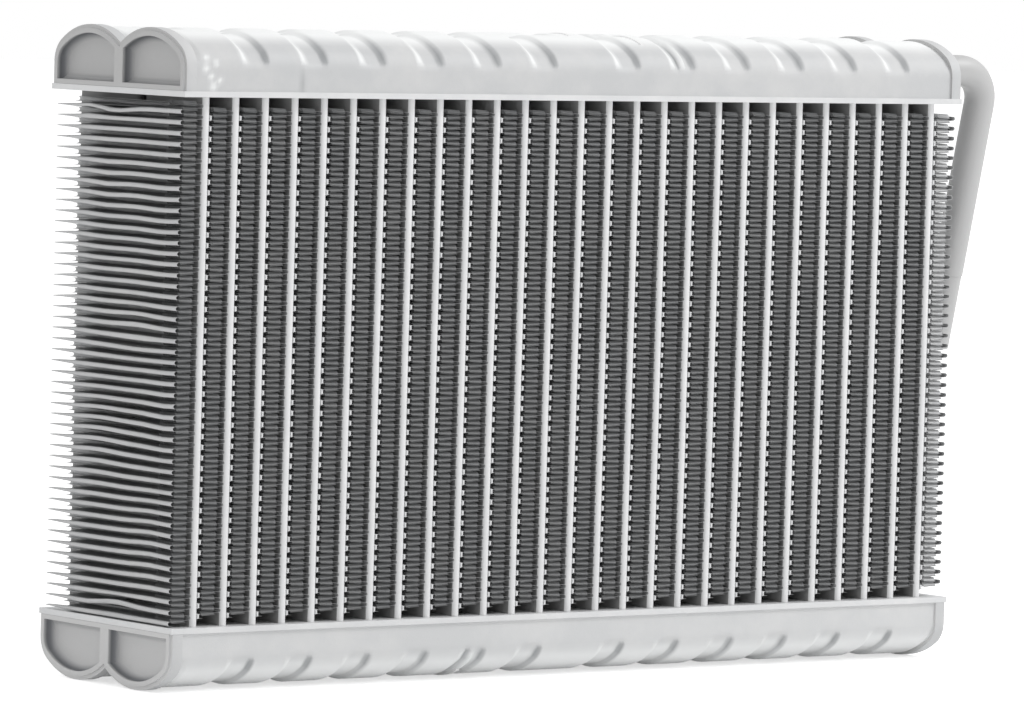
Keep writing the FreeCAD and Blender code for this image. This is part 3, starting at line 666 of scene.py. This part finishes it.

# %% [markdown]
# ## Painted light and shade on the tanks, and flux marks
# The top of the top tank is painted white as a painted reflection, and a painted highlight runs
# along the left wall of each groove and over the partition's tab. Painted shade darkens each
# groove's right wall and the side of the tab. Flux also leaves a few white spots on the front, and
# there is one dark smudge. Noise in a material can't know where the grooves lie, so each point of the
# mesh carries two numbers, worked out as the grooves were. The tanks' finish reads them. The
# bottom tank is painted paler all over, as painted light from the floor.

# %% Work out the residue on each point
# The streak is a painted highlight on a groove's left wall, and the shade is painted shade on its right
# wall
STREAK_AT, STREAK_WIDE, STREAK_FULL = -3.1 * MM, 1.5 * MM, 0.3      # white, on a groove's left wall
SHADE_AT, SHADE_WIDE, SHADE_FULL = 3.1 * MM, 1.3 * MM, 0.2          # dark, on its right wall
TAB_SHADE_AT, TAB_SHADE_WIDE = -1.5 * MM, 0.9 * MM
STREAK_ON, STREAK_OFF = (-10, 10), (60, 86)      # where they fade in and out, in degrees of lean
SHADE_ON, SHADE_OFF = (0, 45), (70, 84)
# The top of the top tank is painted white as a painted reflection, and the bottom tank paler as painted
# light from the floor
TOP_LIGHT_OFF, LOW_LIGHT_OFF = (14, 34), (40, 85)
LOW_LIGHT, LOW_LIGHT_MORE = 0.2, 0.55
STREAK_HIGHLIGHT, SMUDGE_DARK = 0.9, 0.6
FLUX_SPOTS = (  # mm from the left end and above the header plate, and the size, on the front side
    (3.0, 5.5, 0.9), (4.5, 3.5, 0.8), (6.0, 6.8, 0.7), (5.2, 1.2, 1.0), (7.0, 2.6, 0.7), (3.4, 8.0, 0.7),
)
SMUDGE = (31.2, 2.0, 0.7, 3.2)      # a dark mark, set out in the same way, with two sizes


def band(away, half, full):
    """1 in the middle of a band and 0 from its edge on. full is the share that stays at 1."""
    return 1 - smooth(np.abs(away) / half, full, 1)


def note_painted_light_and_flux(sheet, rise, faces_up, tab_place):
    """Notes on each point how white with painted light and flux, and how dark with painted shade and a
    smudge, the sheet is there.

    The white is a painted reflection on top of the top tank and a painted highlight along the left
    wall of each groove, and the dark is painted shade on the right wall. The bottom tank is painted
    paler all over, as painted light from the floor, and the top one also gets flux spots and a dark
    smudge on its front. rise gives the height above the air window's edge for a Z.
    """
    points = points_of(sheet)
    x, z = points[:, 0] - SHELL_X, rise(points[:, 2])
    lean = facing(-np.abs(points[:, 1]), z)[2]
    streak, shade = np.zeros(len(points)), np.zeros(len(points))
    for place in groove_places:
        streak = np.maximum(streak, band(x - place - STREAK_AT, STREAK_WIDE, STREAK_FULL))
        shade = np.maximum(shade, band(x - place - SHADE_AT, SHADE_WIDE, SHADE_FULL))
    streak = np.maximum(streak, band(x - tab_place, TAB_HALF, TAB_FULL))
    shade = np.maximum(shade, band(x - tab_place - TAB_SHADE_AT, TAB_SHADE_WIDE, TAB_FULL))
    streak *= smooth(lean, *STREAK_ON) * (1 - smooth(lean, *STREAK_OFF))
    shade *= smooth(lean, *SHADE_ON) * (1 - smooth(lean, *SHADE_OFF))
    # Painted reflection on top of the top tank, painted light from the floor all over the bottom one
    if faces_up:
        painted_wash = 1 - smooth(np.abs(lean), *TOP_LIGHT_OFF)
    else:
        painted_wash = LOW_LIGHT + LOW_LIGHT_MORE * (1 - smooth(np.abs(lean), *LOW_LIGHT_OFF))
    white = np.maximum(painted_wash, STREAK_HIGHLIGHT * streak)
    on_front = points[:, 1] < -HALF_DEEP + SHOULDER
    if faces_up:
        from_left, above = (x + SHELL_LONG / 2) / MM, (z - HEADER_THICK) / MM
        for spot_x, spot_z, size in FLUX_SPOTS:
            blob = np.exp(-((from_left - spot_x) ** 2 + (above - spot_z) ** 2) / size ** 2)
            white = np.maximum(white, blob * on_front)
        across, up = (from_left - SMUDGE[0]) / SMUDGE[2], (above - SMUDGE[1]) / SMUDGE[3]
        shade = np.maximum(shade, SMUDGE_DARK * np.exp(-across ** 2 - up ** 2) * on_front)
    for name, value in (("residue_and_painted_light", white * (1 - shade)), ("smudge_and_painted_shade", shade)):
        layer = sheet.data.attributes.new(name, "FLOAT", "POINT")
        layer.data.foreach_set("value", np.clip(value, 0, 1))


# %% Stand both tanks in their places
bottom_sheet.data.transform(Matrix.Rotation(math.pi, 4, "X"))
move(top_sheet, SHELL_X, 0, WINDOW_TOP)
move(bottom_sheet, SHELL_X, 0, WINDOW_LOW)
note_painted_light_and_flux(top_sheet, lambda z: z - WINDOW_TOP, True, TOP_TAB)
note_painted_light_and_flux(bottom_sheet, lambda z: WINDOW_LOW - z, False, LOW_TAB)
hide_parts("top_tank")
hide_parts("bottom_tank")
print("tank faces", len(top_sheet.data.polygons))

# %% [markdown]
# ## End caps
# A cap closes each end of a tank. It is a thick blank in the same twin arch, with a cup
# pressed into each lobe. A blank and two punches, joined by boolean difference, make it as
# the press does. The punch is built from rings, and the last rings draw in along a quarter
# circle, so the cup's floor meets its wall in a curve. A bevel takes the sharp edges off.

# %% Make a blank and two punches
CAP_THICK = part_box("top_cap_left")[1].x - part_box("top_cap_left")[0].x
CAP_FLOOR = 0.8 * MM
CAP_FLANGE = 0.5 * MM
CAP_RIM = 2.1 * MM
CAP_SILL = 1.2 * MM
CAP_BAR = 3.6 * MM
CUP_CURVE = 1.6 * MM
RING_WIDE = 0.9 * MM
RING_LOW = 0.5 * MM
RAISED_BASE = 0.05 * MM
CUP_STEPS = 8


def loft(name, rings):
    """A closed solid: flat ends, and quads between each ring of points and the next."""
    count = len(rings[0])
    faces = [tuple(range(count)), tuple(range((len(rings) - 1) * count, len(rings) * count))]
    for k in range(len(rings) - 1):
        for i in range(count):
            a, b = k * count + i, k * count + (i + 1) % count
            faces.append((a, b, b + count, a + count))
    mesh = bpy.data.meshes.new(name)
    mesh.from_pydata([point for ring in rings for point in ring], [], faces)
    solid = bpy.data.objects.new(name, mesh)
    bpy.context.collection.objects.link(solid)
    return outward(solid)


def cap_blank(name):
    """The blank, with its front face raised a little inside a low outer ring."""
    raised = RING_WIDE - CAP_FLANGE
    rings = []
    for x, inset, base in ((0, raised, RAISED_BASE), (RING_LOW, raised, RAISED_BASE),
                           (RING_LOW, -CAP_FLANGE, 0), (CAP_THICK, -CAP_FLANGE, 0)):
        rings.append([(x, y, z) for y, z in arch(inset, HEADER_THICK + base)])
    return loft(name, rings)


def punch(side):
    """One lobe's punch: rings along X, the last of them drawn in to a round nose."""
    floor_x = CAP_THICK - CAP_FLOOR
    stations = [(-MM, 0.0), (floor_x - CUP_CURVE, 0.0)]
    for k in range(1, CUP_STEPS + 1):
        angle = math.pi / 2 * k / CUP_STEPS
        stations.append((floor_x - CUP_CURVE * (1 - math.sin(angle)), CUP_CURVE * (1 - math.cos(angle))))
    rings = []
    for x, drawn in stations:
        outline = arch(CAP_RIM - CAP_FLANGE + drawn, HEADER_THICK + CAP_SILL + drawn, CAP_BAR / 2 + drawn)
        rings.append([(x, side * -y, z) for y, z in outline])
    return loft("punch", rings)


# %% Punch the cups
EDGE_ROUND, EDGE_STEPS, SHARP = 0.28 * MM, 3, math.radians(40)
DRILL_SIDES = 48
WALL_STARTS = (0.2 * MM, MM)                                   # a cup's wall, from the outer face
WALL_ENDS = (CAP_THICK - 0.2 * MM, CAP_THICK - 0.5 * MM)
WALL_GAIN = 1.3


def drill(radius, y, z):
    bpy.ops.mesh.primitive_cylinder_add(vertices=DRILL_SIDES, radius=radius, depth=4 * CAP_THICK,
                                        location=(0, y, z), rotation=(0, math.pi / 2, 0))
    return settle(bpy.context.object)


def cut(obj, tools):
    for tool in tools:
        modify(obj, "BOOLEAN", object=tool, operation="DIFFERENCE", solver="EXACT")
        bpy.data.objects.remove(tool)


def cap(name, holes=()):
    """A cap whose outer face is at X 0 and whose body reaches to +X."""
    blank = cap_blank(name)
    cut(blank, [punch(-1), punch(1)])
    cut(blank, [drill(*hole) for hole in holes])
    modify(blank, "BEVEL", width=EDGE_ROUND, segments=EDGE_STEPS, limit_method="ANGLE", angle_limit=SHARP)
    return paint_cup_shade(blank)


def paint_cup_shade(blank):
    """Notes on each point how far down a cup's wall it lies, for the painted shade that darkens the wall
    there.
    """
    mesh = blank.data
    points = points_of(blank)
    normals = np.zeros(len(points) * 3)
    mesh.vertices.foreach_get("normal", normals)
    normals = normals.reshape(-1, 3)
    to_middle = np.stack([np.sign(points[:, 1]) * LOBE_Y - points[:, 1], SPRING - points[:, 2]], axis=1)
    inward = (normals[:, 1:] * to_middle).sum(axis=1) / (np.hypot(to_middle[:, 0], to_middle[:, 1]) + MM)
    deep = smooth(points[:, 0], *WALL_STARTS) * smooth(points[:, 0], *WALL_ENDS)
    layer = mesh.attributes.new("cup_wall_painted_shade", "FLOAT", "POINT")
    layer.data.foreach_set("value", np.clip(inward * WALL_GAIN, 0, 1) * deep)
    return blank


plain_cap = cap("plain_cap")
print("cap faces", len(plain_cap.data.polygons))

# %% Put the four caps on
pipe_low, pipe_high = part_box("inlet_pipe")
stub_low, stub_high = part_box("outlet_stub")
INLET_RADIUS = 4.0 * MM
INLET_HOLE, OUTLET_HOLE = INLET_RADIUS + 0.05 * MM, 4.55 * MM      # 0.05 mm wider than the roots
PORT_Z = (stub_low.z + stub_high.z) / 2 - WINDOW_TOP
ported = cap("ported_cap", ((INLET_HOLE, LOBE_Y, PORT_Z), (OUTLET_HOLE, -LOBE_Y, PORT_Z)))
left_x, right_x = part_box("top_cap_left")[0].x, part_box("top_cap_right")[1].x
caps = {}
for node, blank, x, z, turns in (
    ("top_cap_left", plain_cap, left_x, WINDOW_TOP, ()),
    ("bottom_cap_left", plain_cap, left_x, WINDOW_LOW, ("X",)),
    ("top_cap_right", ported, right_x, WINDOW_TOP, ("Z",)),
    ("bottom_cap_right", plain_cap, right_x, WINDOW_LOW, ("X", "Z")),
):
    piece = twin(blank, f"{node}_pressed")
    for axis in turns:
        piece.data.transform(Matrix.Rotation(math.pi, 4, axis))
    move(piece, x, 0, z)
    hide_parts(node)
    caps[node] = piece
for blank in (plain_cap, ported):
    bpy.data.objects.remove(blank)
print("caps", sorted(caps))

# %% [markdown]
# ## The inlet pipe
# The inlet is an 8 mm tube bent down beside the core. A circle is extruded to the bend, spun
# through a quarter turn and extruded again, which is how a bending machine feeds and draws
# a tube. Its end is drawn a little narrower, and solidify gives it its wall.

# %% Bend the pipe
BEND = 9.0 * MM
REACH = pipe_high.x - right_x - INLET_RADIUS
DROP = 75.0 * MM
LEAN = math.radians(13.3)
PIPE_WALL = 1.0 * MM
TIP_LONG = 20.0 * MM
TIP_RADIUS = 3.8 * MM
TIP_STEP = 0.15 * MM
PIPE_SIDES, BEND_STEPS = 40, 16
seat = right_x - pipe_low.x
bpy.ops.mesh.primitive_circle_add(vertices=PIPE_SIDES, radius=INLET_RADIUS, location=(-seat, 0, 0),
                                  rotation=(0, math.pi / 2, 0))
pipe = settle(bpy.context.object)
pipe.name = "inlet_pipe_bent"
edit(pipe)
bpy.ops.mesh.select_all(action="SELECT")
bpy.ops.mesh.extrude_region_move(TRANSFORM_OT_translate={"value": (seat + REACH - BEND, 0, 0)})
bpy.ops.mesh.spin(steps=BEND_STEPS, angle=math.pi / 2, center=(REACH - BEND, 0, -BEND), axis=(0, -1, 0))
for fall in (DROP - BEND - TIP_LONG, TIP_STEP, TIP_LONG - TIP_STEP):
    bpy.ops.mesh.extrude_region_move(TRANSFORM_OT_translate={"value": (0, 0, -fall)})
close()
points = points_of(pipe)
tip = points[:, 2] < -(DROP - TIP_LONG) - NEAR
points[tip, 0] = REACH + (points[tip, 0] - REACH) * TIP_RADIUS / INLET_RADIUS
points[tip, 1] *= TIP_RADIUS / INLET_RADIUS
put_points(pipe, points)
outward(pipe)
modify(pipe, "SOLIDIFY", thickness=PIPE_WALL, offset=-1)
pipe.data.transform(Matrix.Rotation(LEAN, 4, "X"))
move(pipe, right_x, -LOBE_Y, WINDOW_TOP + PORT_Z)
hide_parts("inlet_pipe")
print("pipe box in mm", [round(v / MM, 1) for v in points_of(pipe).min(axis=0)],
      [round(v / MM, 1) for v in points_of(pipe).max(axis=0)])

# %% [markdown]
# ## Finishes: a node group for brazed aluminium
# After the furnace, aluminium is neither polished nor painted: it is a pale satin metal with
# cloudy patches of flux residue, small dark specks and a fine grain. Several materials share
# that effect, so it is a node group that puts out a colour, a roughness and a height.


# %% Node helpers
def add_node(tree, kind, **values):
    """A node, with settings by name and inputs by their label with a leading capital."""
    node = tree.nodes.new(kind)
    for name, value in values.items():
        if name[0].isupper():
            node.inputs[name.replace("_", " ")].default_value = value
        else:
            setattr(node, name, value)
    return node


def feed(tree, socket, item):
    """Links another node's socket into this one, or sets a value there."""
    if isinstance(item, bpy.types.NodeSocket):
        tree.links.new(item, socket)
    else:
        socket.default_value = item


def mix_colour(tree, blend, factor, one, two):
    """A colour Mix node. factor, one and two are sockets or values."""
    node = add_node(tree, "ShaderNodeMix", data_type="RGBA", blend_type=blend)
    for index, item in ((0, factor), (6, one), (7, two)):
        feed(tree, node.inputs[index], item)
    return node.outputs[2]


def maths(tree, operation, *items):
    """A Math node. The items are sockets or values."""
    node = add_node(tree, "ShaderNodeMath", operation=operation)
    for index, item in enumerate(items):
        feed(tree, node.inputs[index], item)
    return node.outputs[0]


def ramp(tree, source, low, high):
    """A Map Range node that turns low to 0 and high to 1."""
    node = add_node(tree, "ShaderNodeMapRange", From_Min=low, From_Max=high)
    tree.links.new(source, node.inputs["Value"])
    return node.outputs["Result"]


def grey(value, cool=0.0):
    """A nearly neutral colour; cool leans it to blue."""
    return (value * (1 - cool), value, value * (1 + cool), 1.0)


# %% Build the brazed finish group
CLOUD_EDGES = (0.42, 0.68)
CLOUD_ROUGHENS = 0.22
SPECK_EDGES = (0.10, 0.02)
SPECK_TONE, SPECK_SHARE = (0.35, 0.36, 0.38, 1), 0.10
GRAIN_SHARE = 0.35


def build_brazed_group():
    tree = bpy.data.node_groups.new("brazed_finish", "ShaderNodeTree")
    for way, kind, names in (
        ("INPUT", "NodeSocketColor", ("Metal", "Residue")),
        ("INPUT", "NodeSocketFloat", ("Cloud", "Scale", "Rough")),
        ("OUTPUT", "NodeSocketColor", ("Color",)),
        ("OUTPUT", "NodeSocketFloat", ("Roughness", "Height")),
    ):
        for name in names:
            tree.interface.new_socket(name=name, in_out=way, socket_type=kind)
    given = tree.nodes.new("NodeGroupInput")
    result = tree.nodes.new("NodeGroupOutput")
    place = tree.nodes.new("ShaderNodeTexCoord")
    clouds = add_node(tree, "ShaderNodeTexNoise", Detail=4.0, Roughness=0.62)
    grain = add_node(tree, "ShaderNodeTexNoise", Scale=2600.0, Detail=2.0)
    specks = add_node(tree, "ShaderNodeTexVoronoi", Scale=420.0)
    for texture in (clouds, grain, specks):
        tree.links.new(place.outputs["Object"], texture.inputs["Vector"])
    tree.links.new(given.outputs["Scale"], clouds.inputs["Scale"])
    patch = ramp(tree, clouds.outputs["Fac"], *CLOUD_EDGES)
    amount = maths(tree, "MULTIPLY", patch, given.outputs["Cloud"])
    colour = mix_colour(tree, "MIX", amount, given.outputs["Metal"], given.outputs["Residue"])
    speck = ramp(tree, specks.outputs["Distance"], *SPECK_EDGES)
    faint = maths(tree, "MULTIPLY", speck, SPECK_SHARE)
    colour = mix_colour(tree, "MULTIPLY", faint, colour, SPECK_TONE)
    rough = maths(tree, "MULTIPLY_ADD", amount, CLOUD_ROUGHENS, given.outputs["Rough"])
    height = maths(tree, "MULTIPLY_ADD", grain.outputs["Fac"], GRAIN_SHARE, clouds.outputs["Fac"])
    tree.links.new(colour, result.inputs["Color"])
    tree.links.new(rough, result.inputs["Roughness"])
    tree.links.new(height, result.inputs["Height"])
    return tree


brazed_group = build_brazed_group()
print("group sockets", [item.name for item in brazed_group.interface.items_tree])

# %% [markdown]
# ## Finishes: one material for each part
# The pieces are all aluminium, yet each shows another finish: the tubes come out of the
# extrusion press bright and matt, and the fins are rolled. Some tones are painted light and shade:
# the fins' legs and the tubes' flat sides are painted dark as painted shade between the parts, the
# brazed crests pale as a painted highlight, the caps darker as painted shade on the end faces, and
# the bottom caps paler as painted light from the floor. Flux keeps the partition plates white.
# Each material places the shared group with values of its own.

# %% Make the materials
# The dark colours that painted shade multiplies in: in the cups of the caps, and on the grooves' right
# walls along with a dark smudge
SHADE_TONES = {"cup_wall_painted_shade": (0.30, 0.31, 0.33, 1), "smudge_and_painted_shade": (0.62, 0.63, 0.64, 1)}
# The white that the painted light and the flux spots mix in
FLUX_AND_LIGHT_WHITE = (0.97, 0.98, 0.98, 1)


def brazed(name, metal, residue_and_painted_light, cloud, scale, rough, metallic, bump_height, shade=None, whiten=None):
    """A satin aluminium. bump_height is in metres.

    shade names a point attribute that darkens it with painted shade, and whiten one that whitens it with
    painted light and flux.
    """
    material = bpy.data.materials.new(name)
    material.use_nodes = True
    tree = material.node_tree
    shader = tree.nodes["Principled BSDF"]
    finish = tree.nodes.new("ShaderNodeGroup")
    finish.node_tree = brazed_group
    values = {"Metal": metal, "Residue": residue_and_painted_light, "Cloud": cloud, "Scale": scale, "Rough": rough}
    for label, value in values.items():
        finish.inputs[label].default_value = value
    colour = finish.outputs["Color"]
    if shade:
        layer = add_node(tree, "ShaderNodeAttribute", attribute_name=shade)
        colour = mix_colour(tree, "MULTIPLY", layer.outputs["Fac"], colour, SHADE_TONES[shade])
    if whiten:
        layer = add_node(tree, "ShaderNodeAttribute", attribute_name=whiten)
        colour = mix_colour(tree, "MIX", layer.outputs["Fac"], colour, FLUX_AND_LIGHT_WHITE)
    tree.links.new(colour, shader.inputs["Base Color"])
    tree.links.new(finish.outputs["Roughness"], shader.inputs["Roughness"])
    relief = add_node(tree, "ShaderNodeBump", Strength=0.5, Distance=bump_height)
    tree.links.new(finish.outputs["Height"], relief.inputs["Height"])
    tree.links.new(relief.outputs["Normal"], shader.inputs["Normal"])
    shader.inputs["Metallic"].default_value = metallic
    material.diffuse_color = metal
    return material


# After the two tones: the share and the scale of the clouds, rough, metallic and bump height.
finishes = {
    # The tanks read painted shade and painted light, with flux spots and a smudge, from their points
    "tank_shell": brazed("tank_satin", grey(0.63, 0.012), grey(0.73), 0.8, 55, 0.62, 0.12, 0.22 * MM,
                         "smudge_and_painted_shade", "residue_and_painted_light"),
    "header_plate": brazed("header_satin", grey(0.74, 0.01), grey(0.84), 0.7, 70, 0.48, 0.25, 0.2 * MM),
    # The caps are a darker copy of the metal, as painted shade on end faces turned from the lamp; the
    # bottom caps are a paler copy, as painted light from the floor
    "end_cap": brazed("cap_painted_shade", grey(0.54), grey(0.60), 0.6, 60, 0.55, 0.2, 0.2 * MM, "cup_wall_painted_shade"),
    "low_cap_painted_light": brazed("low_cap_painted_light_satin", grey(0.66), grey(0.72), 0.6, 60, 0.55, 0.2, 0.2 * MM, "cup_wall_painted_shade"),
    "partition_plate": brazed("partition_fluxed", grey(0.92), grey(0.96), 0.6, 60, 0.6, 0.05, 0.15 * MM),
    "pipe": brazed("pipe_satin", grey(0.54), grey(0.60), 0.5, 45, 0.5, 0.2, 0.15 * MM),
    "flat_tube": brazed("tube_matt", grey(0.86, 0.006), grey(0.94), 0.7, 90, 0.6, 0.1, 0.12 * MM),
    # The tubes' flat sides and inner noses are painted dark, as painted shade between the tubes and fins
    "shaded_tube_side": brazed("tube_side_painted_shade", grey(0.32), grey(0.38), 0.6, 90, 0.6, 0.1, 0.12 * MM),
    # Fins: brazed crests painted pale as a painted highlight, other crests a half-lit tone, legs painted
    # dark as painted shade between the tubes
    "fin_crest_highlight": brazed("fin_braze_painted_highlight", grey(0.78, 0.01), grey(0.88), 0.6, 80, 0.5, 0.2, 0.05 * MM),
    "fin_painted_half_light": brazed("fin_painted_half_light", grey(0.58, 0.01), grey(0.68), 0.6, 80, 0.5, 0.2, 0.05 * MM),
    "fin": brazed("fin_leg_painted_shade", grey(0.22, 0.02), grey(0.27), 0.6, 80, 0.5, 0.15, 0.05 * MM),
}
print("materials", [m.name for m in finishes.values()])


# %% Choose the finish of each face
ROW_GAP = 5 * MM
SQUARE, SLANTED = 0.97, 0.6      # how much of a face's normal points along X


def dress(obj, *names):
    """Gives the mesh these finishes; its faces keep the number of the one they wear."""
    worn = np.zeros(len(obj.data.polygons), dtype=np.int32)
    obj.data.polygons.foreach_get("material_index", worn)
    obj.data.materials.clear()
    for name in names:
        obj.data.materials.append(finishes[name])
    obj.data.polygons.foreach_set("material_index", worn % len(names))


def wear(obj, test):
    """Faces that pass the test wear the second finish and all others the first."""
    for face in obj.data.polygons:
        face.material_index = int(test(face))


def on_tube_side(face):
    """A flat side of a tube, or its nose in the gap between the two rows, which is painted dark as
    painted shade between the parts.
    """
    return abs(face.normal.x) > SQUARE or abs(face.center.y) < ROW_GAP


def on_cap_side(face):
    """The outer side of a cap, which the clad tank sheet covers."""
    lobe = LOBE_Y if face.center.y > 0 else -LOBE_Y
    spring = WINDOW_TOP + SPRING if face.center.z > WINDOW_TOP else WINDOW_LOW - SPRING
    away = (face.center.y - lobe) * face.normal.y + (face.center.z - spring) * face.normal.z
    return abs(face.normal.x) < SLANTED and away > 0


def smooth_shade(obj, degrees=35):
    only(obj)
    bpy.ops.object.shade_smooth_by_angle(angle=math.radians(degrees), keep_sharp_edges=True)


# %% Give every piece and node its finish
for group in tube_groups:
    wear(group, on_tube_side)
for piece in caps.values():
    wear(piece, on_cap_side)
# The fin at the right end stands in the open, so its legs get the half-lit tone in place of the inner
# fins' painted shade
for face in fin_pieces[-1].data.polygons:
    if face.material_index == SHADED_LEG:
        face.material_index = HALF_LIT
dressed = []
for slot, pieces, names in (
    ("fin", fin_pieces, ("fin_crest_highlight", "fin", "fin_painted_half_light")),
    ("flat_tube", tube_groups, ("flat_tube", "shaded_tube_side")),
    ("tank_shell", [top_sheet, bottom_sheet], ("tank_shell",)),
    ("end_cap", [caps["top_cap_left"], caps["top_cap_right"]], ("end_cap", "tank_shell")),
    ("end_cap", [caps["bottom_cap_left"], caps["bottom_cap_right"]], ("low_cap_painted_light", "tank_shell")),
    ("pipe", [pipe], ("pipe",)),
):
    for piece in pieces:
        dress(piece, *names)
        smooth_shade(piece)
        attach(piece, "root")
        dressed.append(piece)
for node, slot in (
    ("top_header", "header_plate"), ("bottom_header", "header_plate"), ("outlet_stub", "pipe"),
    ("top_partition_front", "partition_plate"), ("top_partition_back", "partition_plate"),
    ("bottom_partition_front", "partition_plate"), ("bottom_partition_back", "partition_plate"),
):
    dress(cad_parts[node], slot)
print("dressed pieces", len(dressed))

# %% [markdown]
# ## The studio
# The floor is plain and pale, and it and the background glow white only where the camera, a
# reflection or a clear material looks at them, so the light on the object stays soft. One
# lamp hangs above the front at the right, so it rakes across the grooves of the tanks and the
# left end lies in its own shade.

# %% Tell picture rays from light rays
def seen_rays(tree):
    """1 for rays of the camera, of a reflection or through a clear material, and 0 for light rays."""
    path = tree.nodes.new("ShaderNodeLightPath")
    seen = maths(tree, "MAXIMUM", path.outputs["Is Camera Ray"], path.outputs["Is Glossy Ray"])
    return maths(tree, "MAXIMUM", seen, path.outputs["Is Transmission Ray"])


# %% Lay the floor
FLOOR_WHITE = (0.93, 0.93, 0.93, 1)
FLOOR_GLOW = 0.55
bpy.ops.mesh.primitive_plane_add(size=12, location=(0, 0, 0))
floor = bpy.context.object
floor.name = "studio_floor"
material = bpy.data.materials.new("floor_white")
material.use_nodes = True
tree = material.node_tree
shader = tree.nodes["Principled BSDF"]
shader.inputs["Base Color"].default_value = FLOOR_WHITE
shader.inputs["Roughness"].default_value = 0.9
shader.inputs["Emission Color"].default_value = (1, 1, 1, 1)
glow = maths(tree, "MULTIPLY", seen_rays(tree), FLOOR_GLOW)
tree.links.new(glow, shader.inputs["Emission Strength"])
floor.data.materials.append(material)
print("floor", floor.name)

# %% Light the world and hang the lamp
WORLD_LIGHT = 0.68
KEY_POWER, KEY_SIZE = 5.8, 0.4
KEY_PLACE, CORE_MIDDLE = (0.68, -0.62, 1.02), Vector((0, 0, 0.08))
world = bpy.data.worlds.new("studio_world")
bpy.context.scene.world = world
world.use_nodes = True
tree = world.node_tree
tree.nodes.clear()
soft = add_node(tree, "ShaderNodeBackground", Color=(1, 1, 1, 1), Strength=WORLD_LIGHT)
white = add_node(tree, "ShaderNodeBackground", Color=(1, 1, 1, 1), Strength=1.0)
choose = tree.nodes.new("ShaderNodeMixShader")
tree.links.new(seen_rays(tree), choose.inputs[0])
tree.links.new(soft.outputs[0], choose.inputs[1])
tree.links.new(white.outputs[0], choose.inputs[2])
output = tree.nodes.new("ShaderNodeOutputWorld")
tree.links.new(choose.outputs[0], output.inputs["Surface"])


def lamp(name, place, power, size):
    """A square lamp that looks at the middle of the core."""
    light = bpy.data.lights.new(name, "AREA")
    light.energy, light.size = power, size
    obj = bpy.data.objects.new(name, light)
    bpy.context.collection.objects.link(obj)
    obj.location = place
    obj.rotation_euler = (CORE_MIDDLE - obj.location).to_track_quat("-Z", "Y").to_euler()
    return obj


key = lamp("key_lamp", KEY_PLACE, KEY_POWER, KEY_SIZE)
print("lamp", key.name, "world", WORLD_LIGHT)

# %% [markdown]
# ## The camera
# The camera stands where the photographer stood: far off, some way round to the left of the
# front and slightly above the middle. Its angle and distance were solved from the tube rows.

# %% Set the camera
YAW, RISE, ROLL = (math.radians(v) for v in (36.787, 3.422, 1.6))
AWAY = 1893.94 * MM
SLIDE_X, SLIDE_Y = 0.098 * MM, -3.458 * MM
LENS, SENSOR = 264.3, 36.0
core_low, core_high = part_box("top_header")
target = Vector(((core_low.x + core_high.x) / 2, 0, (WINDOW_TOP + WINDOW_LOW) / 2))
back = Vector((-math.sin(YAW) * math.cos(RISE), -math.cos(YAW) * math.cos(RISE), math.sin(RISE)))
level = Vector((math.cos(YAW), -math.sin(YAW), 0))
upright = back.cross(level)
right = level * math.cos(ROLL) + upright * math.sin(ROLL)
up = upright * math.cos(ROLL) - level * math.sin(ROLL)
lens = bpy.data.cameras.new("photo_camera")
lens.lens, lens.sensor_width, lens.sensor_fit = LENS, SENSOR, "HORIZONTAL"
lens.clip_start, lens.clip_end = 0.05, 20
camera = bpy.data.objects.new("photo_camera", lens)
bpy.context.collection.objects.link(camera)
place = target + AWAY * back + SLIDE_X * right + SLIDE_Y * up
turn = Matrix((right, up, back)).transposed()
camera.matrix_world = Matrix.Translation(place) @ turn.to_4x4()
bpy.context.scene.camera = camera
print("camera", [round(v, 3) for v in camera.location])
